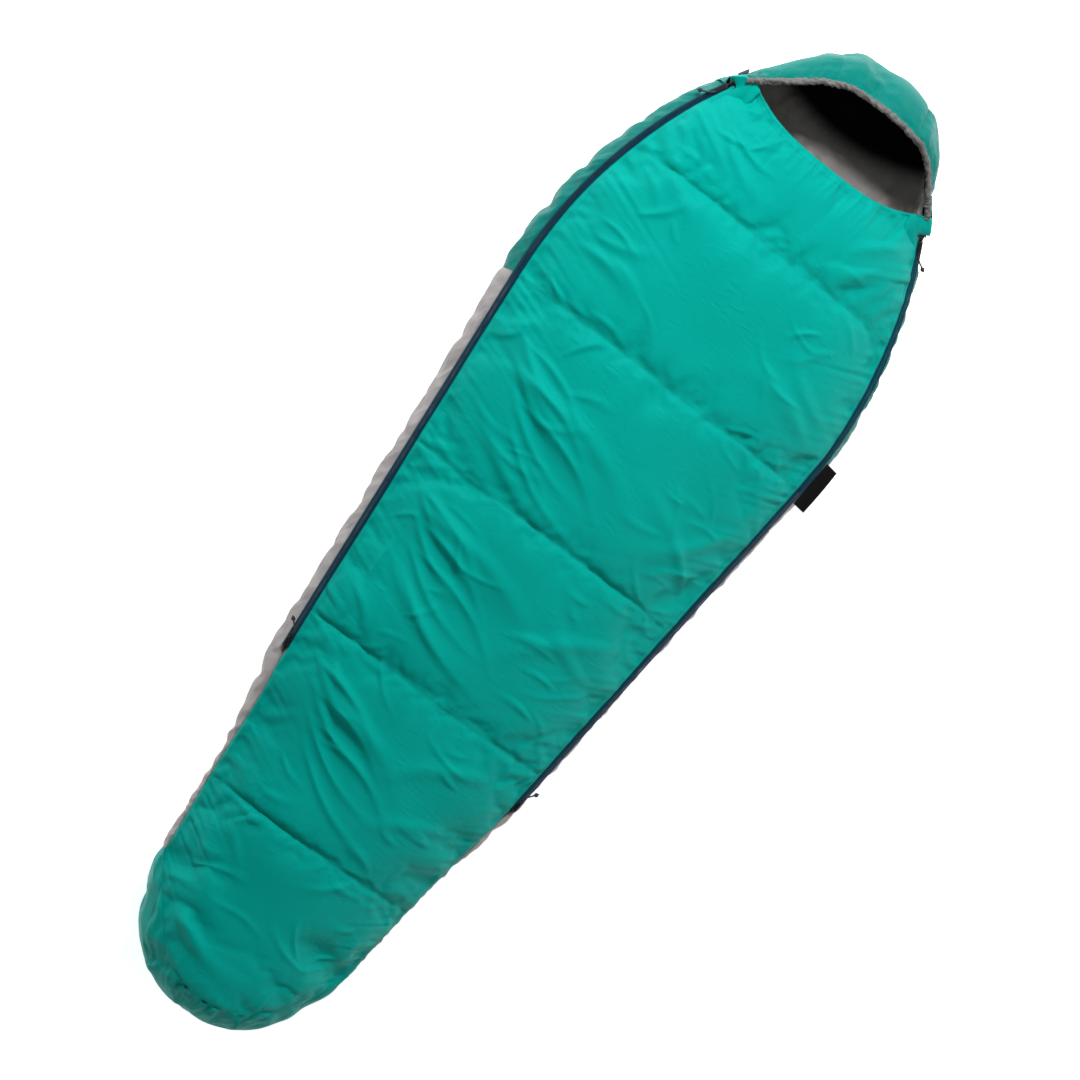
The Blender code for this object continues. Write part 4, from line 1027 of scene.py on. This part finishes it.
# Painted light: the dark hood lining turns grey near the neck, for the light that falls in through the face
# opening.
paint_neck_light(HOOD_LINING, near=0.850, far=0.900, light=(0.42, 0.39, 0.38))
columns = []
for s in [a / 32 for a in range(-32, 33)]:
    column = []
    for k in range(27):
        turn = math.radians(-90 + (RIM_ANGLE + 88) * k / 26)
        p = hood_place(s, turn)
        inward = (Vector((p.x * 0.86, HOOD_AXIS_Y, HOOD_EQUATOR_Z)) - p).normalized()
        edge = min(1.0, (1 - abs(s)) * 7.0) * min(1.0, (26 - k) / 5 + 0.3)
        column.append(p + inward * (0.004 + (LOFT - 0.004) * edge))
    columns.append(column)
held = [1.0 if i in (0, 64) or j in (0, 26) else 0.0 for i in range(65) for j in range(27)]
hood_lining = grid_mesh("hood_lining_cloth", columns)
billow(hood_lining, held, pressure=0.5, extra=0.06, frames=16, cap=0.007, seed=25.0)
smooth_finish(hood_lining, HOOD_LINING)
crumple(hood_lining, scale=34.0, depth=0.0042, seed=8.0)
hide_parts("hood_lining")
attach(hood_lining, "root")

# ---- Face hem ----------------------------------------------------------------------------
# The lining is turned out over the hood's rim as a channel for the drawcord, which gathers
# it into short twisted pleats.

HEM_RADIUS = 0.0056
HEM_LINING = fabric("grey_taffeta_hem", (0.09, 0.083, 0.08), (0.16, 0.149, 0.146), roughness=0.5,
                    rip=0.05, crease=1.6, tint=(1.0, 0.98, 0.97))


def close_ends(piece):
    """Fills the open ends of a tube or a doubled strip and turns its faces outwards."""
    closed = bmesh.new()
    closed.from_mesh(piece.data)
    bmesh.ops.holes_fill(closed, edges=[e for e in closed.edges if e.is_boundary])
    bmesh.ops.recalc_face_normals(closed, faces=closed.faces)
    closed.to_mesh(piece.data)
    closed.free()


def tube_mesh(name, line, radius, around, wrinkle, seed):
    """A closed tube on a line; wrinkle is the share of the radius that its pleats move."""
    columns = [[] for _ in range(around)]
    for k, centre in enumerate(line):
        ahead = (line[min(k + 1, len(line) - 1)] - line[max(k - 1, 0)]).normalized()
        side = ahead.cross(Vector((0, 0, 1))).normalized()
        up = side.cross(ahead)
        for i in range(around):
            turn = 2 * math.pi * i / around
            pleat = noise.noise(Vector((k * 0.42 + turn * 0.8, math.sin(turn) + seed, math.cos(turn))))
            reach = radius * (1 + wrinkle * 2 * pleat)
            columns[i].append(centre + side * (reach * math.cos(turn)) + up * (reach * math.sin(turn)))
    made = grid_mesh(name, columns, ring=True)
    close_ends(made)
    return made


RIM_SHARE, RIM_STEPS = 0.82, 125
rim = [hood_place(RIM_SHARE * k / RIM_STEPS, math.radians(RIM_ANGLE))
       for k in range(-RIM_STEPS, RIM_STEPS + 1)]
face_hem = tube_mesh("face_hem", rim, HEM_RADIUS, around=14, wrinkle=0.42, seed=2.0)
smooth_finish(face_hem, HEM_LINING)
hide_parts("hood_hem")
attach(face_hem, "root")

# ---- Draft tubes -------------------------------------------------------------------------
# A roll of taffeta stuffed with filling is sewn inside each zip, along its whole length, so
# that no draught comes through the coils.

DRAFT_RADIUS = 0.006
ROLL_INSIDE, ROLL_BELOW = 0.012, 0.0145
for label, side in SIDES:
    line = []
    for y in np.linspace(ZIP_BOTTOM_Y + 0.004, ZIP_TOP_Y - 0.004, 260):
        centre, out, _ = zip_frame(float(y), side)
        line.append(centre - out * ROLL_INSIDE - Vector((0, 0, ROLL_BELOW)))
    tube = tube_mesh(f"draft_roll_{label}", line, DRAFT_RADIUS, around=14, wrinkle=0.20, seed=4.0 + side)
    smooth_finish(tube, LINING, levels=0)
    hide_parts(f"draft_tube_{label}")
    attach(tube, "root")

# ---- Stitching ---------------------------------------------------------------------------
# Polyester lockstitch along every seam: small thread loops laid end to end, sunk in the
# valley that they pull into the filling.


def line_group():
    """Copies of one small piece along lines, at a pitch."""
    tree = bpy.data.node_groups.new("pieces_along_line", "GeometryNodeTree")
    tree.interface.new_socket("Geometry", in_out="INPUT", socket_type="NodeSocketGeometry")
    tree.interface.new_socket("Piece", in_out="INPUT", socket_type="NodeSocketObject")
    tree.interface.new_socket("Pitch", in_out="INPUT", socket_type="NodeSocketFloat")
    tree.interface.new_socket("Finish", in_out="INPUT", socket_type="NodeSocketMaterial")
    tree.interface.new_socket("Geometry", in_out="OUTPUT", socket_type="NodeSocketGeometry")
    inside, outside = tree.nodes.new("NodeGroupInput"), tree.nodes.new("NodeGroupOutput")
    curve = tree.nodes.new("GeometryNodeMeshToCurve")
    points = tree.nodes.new("GeometryNodeCurveToPoints")
    points.mode = "LENGTH"
    align = tree.nodes.new("FunctionNodeAlignRotationToVector")
    align.axis = "Y"
    piece = tree.nodes.new("GeometryNodeObjectInfo")
    place = tree.nodes.new("GeometryNodeInstanceOnPoints")
    real = tree.nodes.new("GeometryNodeRealizeInstances")
    finish = tree.nodes.new("GeometryNodeSetMaterial")
    link = tree.links.new
    link(inside.outputs["Geometry"], curve.inputs["Mesh"])
    link(curve.outputs["Curve"], points.inputs["Curve"])
    link(inside.outputs["Pitch"], points.inputs["Length"])
    link(points.outputs["Tangent"], align.inputs["Vector"])
    link(inside.outputs["Piece"], piece.inputs["Object"])
    link(points.outputs["Points"], place.inputs["Points"])
    link(piece.outputs["Geometry"], place.inputs["Instance"])
    link(align.outputs["Rotation"], place.inputs["Rotation"])
    link(place.outputs["Instances"], real.inputs["Geometry"])
    link(real.outputs["Geometry"], finish.inputs["Geometry"])
    link(inside.outputs["Finish"], finish.inputs["Material"])
    link(finish.outputs["Geometry"], outside.inputs["Geometry"])
    return tree


ALONG_LINE = line_group()
SOCKETS = {item.name: item.identifier for item in ALONG_LINE.interface.items_tree if item.in_out == "INPUT"}


def run_along(name, lines, piece, pitch, finish):
    """One mesh of the piece repeated along every line."""
    mesh = bpy.data.meshes.new(name)
    places, edges = [], []
    for line in lines:
        edges += [(len(places) + k, len(places) + k + 1) for k in range(len(line) - 1)]
        places += [tuple(p) for p in line]
    mesh.from_pydata(places, edges, [])
    made = bpy.data.objects.new(name, mesh)
    scene.collection.objects.link(made)
    step = made.modifiers.new("along", "NODES")
    step.node_group = ALONG_LINE
    step[SOCKETS["Piece"]] = piece
    step[SOCKETS["Pitch"]] = pitch
    step[SOCKETS["Finish"]] = finish
    plain = bpy.data.meshes.new_from_object(made.evaluated_get(bpy.context.evaluated_depsgraph_get()))
    made.modifiers.remove(step)
    made.data = plain
    plain.shade_smooth()
    return made


def capsule(name, half_length, radius, height, axis, rings=3, around=6):
    """A small rounded bar along Y or X."""
    mesh = bpy.data.meshes.new(name)
    made = bmesh.new()
    bmesh.ops.create_uvsphere(made, u_segments=around, v_segments=rings * 2, radius=1.0)
    for v in made.verts:
        x, y, z = v.co
        end = half_length * math.copysign(abs(z) ** 0.5, z) if abs(z) > 1e-6 else 0.0
        if axis == "Y":
            v.co = Vector((x * radius, end, y * height))
        else:
            v.co = Vector((end, x * radius, y * height))
    bmesh.ops.recalc_face_normals(made, faces=made.faces)
    made.to_mesh(mesh)
    made.free()
    return bpy.data.objects.new(name, mesh)


def surface_lines(piece, lines, lift=0.0002):
    """The lines laid on the nearest surface of a finished piece."""
    tree = BVHTree.FromObject(piece, bpy.context.evaluated_depsgraph_get())
    found = []
    for line in lines:
        laid = []
        for p in line:
            place, normal, _, _ = tree.find_nearest(Vector(p))
            laid.append(place + normal * lift)
        found.append(laid)
    return found


THREAD = braid_material("teal_thread", (0.0, 0.10, 0.09), pitch=1500.0)
GREY_THREAD = braid_material("grey_thread", (0.13, 0.12, 0.12), pitch=1500.0)
STITCH = capsule("stitch", half_length=0.0014, radius=0.00030, height=0.00025, axis="Y")
STITCH_PITCH = 0.0034
steps = [-1 + 2 * k / 120 for k in range(121)]
quilt = [[top_place(s * 0.985, y) - Vector((0, 0, 0.0026)) for s in steps] for y in QUILT_SEAMS]
edge_shares = [side * 0.965 for _, side in SIDES]
leg_edges = [[top_place(s, y) for y in np.linspace(-0.80, FOLD_START_Y, 120)] for s in edge_shares]
flap_edges = [[top_place(s, y) for y in np.linspace(FOLD_END_Y, 0.80, 50)] for s in edge_shares]
fold_edges = [[top_place(s, y) for y in np.linspace(FOLD_START_Y, FOLD_END_Y, 8)] for s in edge_shares]
neck_line = [top_place(s * 0.97, neck_edge_y(s) - 0.016) for s in steps]
foot_line = [top_place(s, foot_seam(s) + 0.004) for s in steps]
groups = (
    ("leg_stitches", quilt[:3] + leg_edges + [foot_line], "root"),
    ("flap_stitches", quilt[4:] + flap_edges + [neck_line], "flap"),
    ("fold_stitches", quilt[3:4] + fold_edges, None),
)
for name, lines, body in groups:
    stitches = run_along(name, surface_lines(top_cover, lines), STITCH, STITCH_PITCH, THREAD)
    if body:
        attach(stitches, body)
    else:
        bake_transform(stitches)
side_shares = [FLAT_SHARE + 0.06 + (0.985 - FLAT_SHARE - 0.06) * k / 20 for k in range(21)]
grey_lines = [[back_place(side * s, y) for s in side_shares] for y in QUILT_SEAMS[:3] for _, side in SIDES]
teal_lines = [[back_place(side * s, y) for s in side_shares]
              for y in (COLOUR_SEAM_Y + 0.004, QUILT_SEAMS[4]) for _, side in SIDES]
hood_turns = [math.radians(-60 + (RIM_ANGLE + 56) * k / 60) for k in range(61)]
centre_share = CENTRE_PANEL_X / back_place(FLAT_SHARE, ZIP_TOP_Y).x * FLAT_SHARE
hood_lines = [[hood_place(side * centre_share, t) for t in hood_turns] for _, side in SIDES]
hood_lines.append([hood_place(0.9 * k / 100, math.radians(RIM_ANGLE - 6)) for k in range(-100, 101)])
for name, target, lines, thread, slot in (
        ("grey_back_stitches", back_pieces[0], grey_lines, GREY_THREAD, "grey_shell"),
        ("teal_back_stitches", back_pieces[1], teal_lines, THREAD, "teal_shell"),
        ("hood_stitches", hood_cover, hood_lines, THREAD, "teal_shell")):
    stitches = run_along(name, surface_lines(target, lines), STITCH, STITCH_PITCH, thread)
    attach(stitches, "root")

# ---- Zips --------------------------------------------------------------------------------
# A petrol-blue nylon coil zip runs up each side: woven tapes sewn to the top and back
# panels, and a row of coil loops on each.

ZIP_TAPE = fabric("petrol_zip_tape", (0.003, 0.045, 0.085), (0.006, 0.075, 0.13), roughness=0.6, rip=0.6,
                  crease=0.2, pitch=900.0, tint=(0.4, 0.7, 1.0))
COIL = braid_material("petrol_coil", (0.004, 0.05, 0.095), pitch=700.0)
TOOTH = capsule("coil_loop", half_length=0.0009, radius=0.00062, height=0.0013, axis="X")
COIL_PITCH, COIL_OUT = 0.0016, 0.00165
TAPE_HALF = 0.0003
ZIP_SPLIT = 0.0003           # half the gap between the legs' tape and the flap's
ZIP_PARTS = (("back", 1, ZIP_BOTTOM_Y, ZIP_TOP_Y, "root"),
             ("legs", -1, ZIP_BOTTOM_Y, ARC_START_Y - ZIP_SPLIT, "root"),
             ("flap", -1, ARC_START_Y + ZIP_SPLIT, ZIP_TOP_Y - 2 * ZIP_SPLIT, "flap"))
TAPE_SHAPE = {
    1: ((0.0028, 0.0), (0.0042, 0.0), (0.0052, -0.0006), (0.0058, -0.0022), (0.0056, -0.0060)),
    -1: ((0.0028, 0.0), (0.0042, 0.0), (0.0060, -0.0002), (0.0080, -0.0014)),
}


def tape_mesh(name, side, sign, start, end):
    """A woven tape swept along the zip, closed all round."""
    shape = TAPE_SHAPE[sign]
    above = [(sign * a, b + TAPE_HALF) for a, b in shape]
    below = [(sign * a, b - TAPE_HALF) for a, b in shape[::-1]]
    count = max(8, int((end - start) / 0.008))
    columns = [[] for _ in above + below]
    for k in range(count + 1):
        centre, out, _ = zip_frame(start + (end - start) * k / count, side)
        for column, (a, b) in zip(columns, above + below):
            column.append(centre + out * a + Vector((0, 0, b)))
    made = grid_mesh(name, columns, ring=True)
    close_ends(made)
    made.data.materials.append(ZIP_TAPE)
    return made


for label, side in SIDES:
    for part, sign, start, end, body in ZIP_PARTS:
        tape = tape_mesh(f"tape_{part}_{label}", side, sign, start, end)
        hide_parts(f"zip_tape_{part}_{label}")
        line = []
        for y in np.linspace(start + 0.001, end - 0.001, 200):
            centre, out, _ = zip_frame(float(y), side)
            line.append(centre + out * (sign * COIL_OUT))
        coil = run_along(f"coil_{part}_{label}", [line], TOOTH, COIL_PITCH, COIL)
        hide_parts(f"zip_coil_{part}_{label}")
        for piece, slot in ((tape, "zip_tape"), (coil, "zip_coil")):
            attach(piece, body)

# ---- Sliders, pulls and stops ------------------------------------------------------------
# Die-cast zinc sliders, dark plated, with a stamped pull on a bridge. Their edges are
# tumbled round before plating.


def plated_metal(name, colour):
    """Dark plating, a little uneven in colour and polish."""
    made = bpy.data.materials.new(name)
    made.use_nodes = True
    tree = made.node_tree
    shader = tree.nodes["Principled BSDF"]
    shader.inputs["Metallic"].default_value = 0.85
    place = tree.nodes.new("ShaderNodeTexCoord")
    wear = tree.nodes.new("ShaderNodeTexNoise")
    wear.inputs["Scale"].default_value = 220.0
    wear.inputs["Detail"].default_value = 4.0
    rough = tree.nodes.new("ShaderNodeMapRange")
    rough.inputs["To Min"].default_value = 0.28
    rough.inputs["To Max"].default_value = 0.5
    shade = tree.nodes.new("ShaderNodeMix")
    shade.data_type = "RGBA"
    shade.inputs["A"].default_value = (*colour, 1.0)
    shade.inputs["B"].default_value = (*(c * 1.8 for c in colour), 1.0)
    tree.links.new(place.outputs["Object"], wear.inputs["Vector"])
    tree.links.new(wear.outputs[0], rough.inputs["Value"])
    tree.links.new(rough.outputs["Result"], shader.inputs["Roughness"])
    tree.links.new(wear.outputs[0], shade.inputs["Factor"])
    tree.links.new(shade.outputs["Result"], shader.inputs["Base Color"])
    return made


PLATED = plated_metal("dark_plated_zinc", (0.022, 0.021, 0.022))


def rounded_copy(node, width, finish):
    """The node's own shape with its edges rounded."""
    source = bpy.data.objects[node]
    mesh = bpy.data.meshes.new_from_object(source)
    mesh.transform(source.matrix_world)
    made = bmesh.new()
    made.from_mesh(mesh)
    bmesh.ops.remove_doubles(made, verts=made.verts, dist=0.00002)
    bmesh.ops.dissolve_limit(made, angle_limit=math.radians(2), verts=made.verts, edges=made.edges)
    sharp = [e for e in made.edges if len(e.link_faces) == 2 and e.calc_face_angle() > math.radians(40)]
    bmesh.ops.bevel(made, geom=sharp, offset=width, segments=2, affect="EDGES", clamp_overlap=True)
    made.to_mesh(mesh)
    made.free()
    mesh.materials.clear()
    mesh.materials.append(finish)
    piece = bpy.data.objects.new(node + "_cast", mesh)
    scene.collection.objects.link(piece)
    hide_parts(node)
    return piece


for label, side in SIDES:
    for end in ("lower", "upper"):
        name = f"slider_{end}_{label}"
        for node, body in ((name, name), (name + "_pull", f"pull_{end}_{label}")):
            piece = rounded_copy(node, width=0.00022, finish=PLATED)
            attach(piece, body)
    for end in ("bottom", "top"):
        piece = rounded_copy(f"zip_{end}_stop_{label}", width=0.0002, finish=PLATED)
        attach(piece, "root")

# ---- Closure tabs ------------------------------------------------------------------------
# A doubled teal strip at each zip top carries a hook patch over to a loop patch on the
# hood, and covers the parked slider.

HOOK = braid_material("hook_and_loop", (0.012, 0.012, 0.012), pitch=1300.0)
TAB_SHARES = (0.80, 0.97)
TAB_HALF = 0.0007


def hood_outward(s, turn):
    """The upward direction off the hood's surface."""
    step = 0.002
    a = hood_place(s + step, turn) - hood_place(s - step, turn)
    b = hood_place(s, turn + step) - hood_place(s, turn - step)
    found = b.cross(a).normalized()
    return found if found.z > 0 else -found


for label, side in SIDES:
    columns = []
    for k in range(9):
        share = TAB_SHARES[0] + (TAB_SHARES[1] - TAB_SHARES[0]) * k / 8
        s = side * share
        edge_y = neck_edge_y(s)
        on_flap = [top_place(s, edge_y - back) + Vector((0, 0, lift))
                   for back, lift in ((0.044, -0.0050), (0.030, 0.0012), (0.012, 0.0042), (0.001, 0.0050))]
        on_hood = [hood_place(s, math.radians(t)) + hood_outward(s, math.radians(t)) * lift
                   for t, lift in ((50.0, 0.0078), (38.0, 0.0062), (24.0, 0.0046), (14.0, 0.0010))]
        line = smooth_line(on_flap + on_hood, 26)
        crown = 0.0050 * math.sin(math.pi * k / 8) ** 0.5 - 0.0042
        columns.append([p + Vector((0, 0, crown)) for p in line])
    over = [[p + Vector((0, 0, TAB_HALF)) for p in column] for column in columns]
    under = [[p - Vector((0, 0, TAB_HALF)) for p in column] for column in columns[::-1]]
    tab = grid_mesh(f"neck_tab_{label}", over + under, ring=True)
    close_ends(tab)
    smooth_finish(tab, TEAL)
    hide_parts(f"closure_tab_{label}")
    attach(tab, "flap")
    for kind in ("hook", "loop"):
        patch = bpy.data.objects[f"{kind}_patch_{label}"]
        patch.data.materials.clear()
        patch.data.materials.append(HOOK)

# ---- Drawcord ----------------------------------------------------------------------------
# A round braided elastic cord runs loose inside the face hem, from ear to ear. Pulled
# tight, it gathers the hood round the face.

DRAWCORD_RADIUS = 0.0020
hem_cord = tube_mesh("hem_cord", rim, DRAWCORD_RADIUS, around=8, wrinkle=0.0, seed=0.0)
hem_cord.data.materials.append(CORD)
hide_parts("hood_drawcord")
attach(hem_cord, "root")

# ---- Side tag ----------------------------------------------------------------------------
# A blank label of black woven tape, folded double, with its raw ends sewn into the right
# side seam at the chest. It hangs out over the back panel.

TAG_CENTRE_Y, TAG_LENGTH, TAG_WIDTH, TAG_FALL = 0.366, 0.092, 0.031, math.radians(24)
TAG_HALF = 0.0005
start, out, ahead = zip_frame(TAG_CENTRE_Y, 1)
root = start + out * 0.0068 - Vector((0, 0, 0.0044))
down = Vector((out.x * math.cos(TAG_FALL), out.y * math.cos(TAG_FALL), -math.sin(TAG_FALL)))
upright = ahead.cross(down)
if upright.z < 0:
    upright = -upright
over, under = [], []
for k in range(25):
    along = (k / 24 - 0.5) * TAG_LENGTH
    top_side, low_side = [], []
    for i in range(13):
        away = TAG_WIDTH * i / 12
        curl = 0.0016 * math.sin(math.pi * k / 24) * (i / 12) ** 2
        thick = TAG_HALF * (1.0 if i < 12 else 0.35)
        p = root + ahead * along + down * away + upright * curl
        top_side.append(p + upright * thick)
        low_side.append(p - upright * thick)
    over.append(top_side)
    under.append(low_side)
tag = grid_mesh("woven_tag", over + under[::-1], ring=True)
close_ends(tag)
TAG = fabric("black_woven_label", (0.004, 0.004, 0.005), (0.009, 0.009, 0.010), roughness=0.7, rip=0.5,
             crease=0.1, pitch=1100.0, tint=(1.0, 1.0, 1.0), sheen=0.0, specular=0.08)
tag.data.materials.append(TAG)
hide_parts("side_tag")
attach(tag, "root")
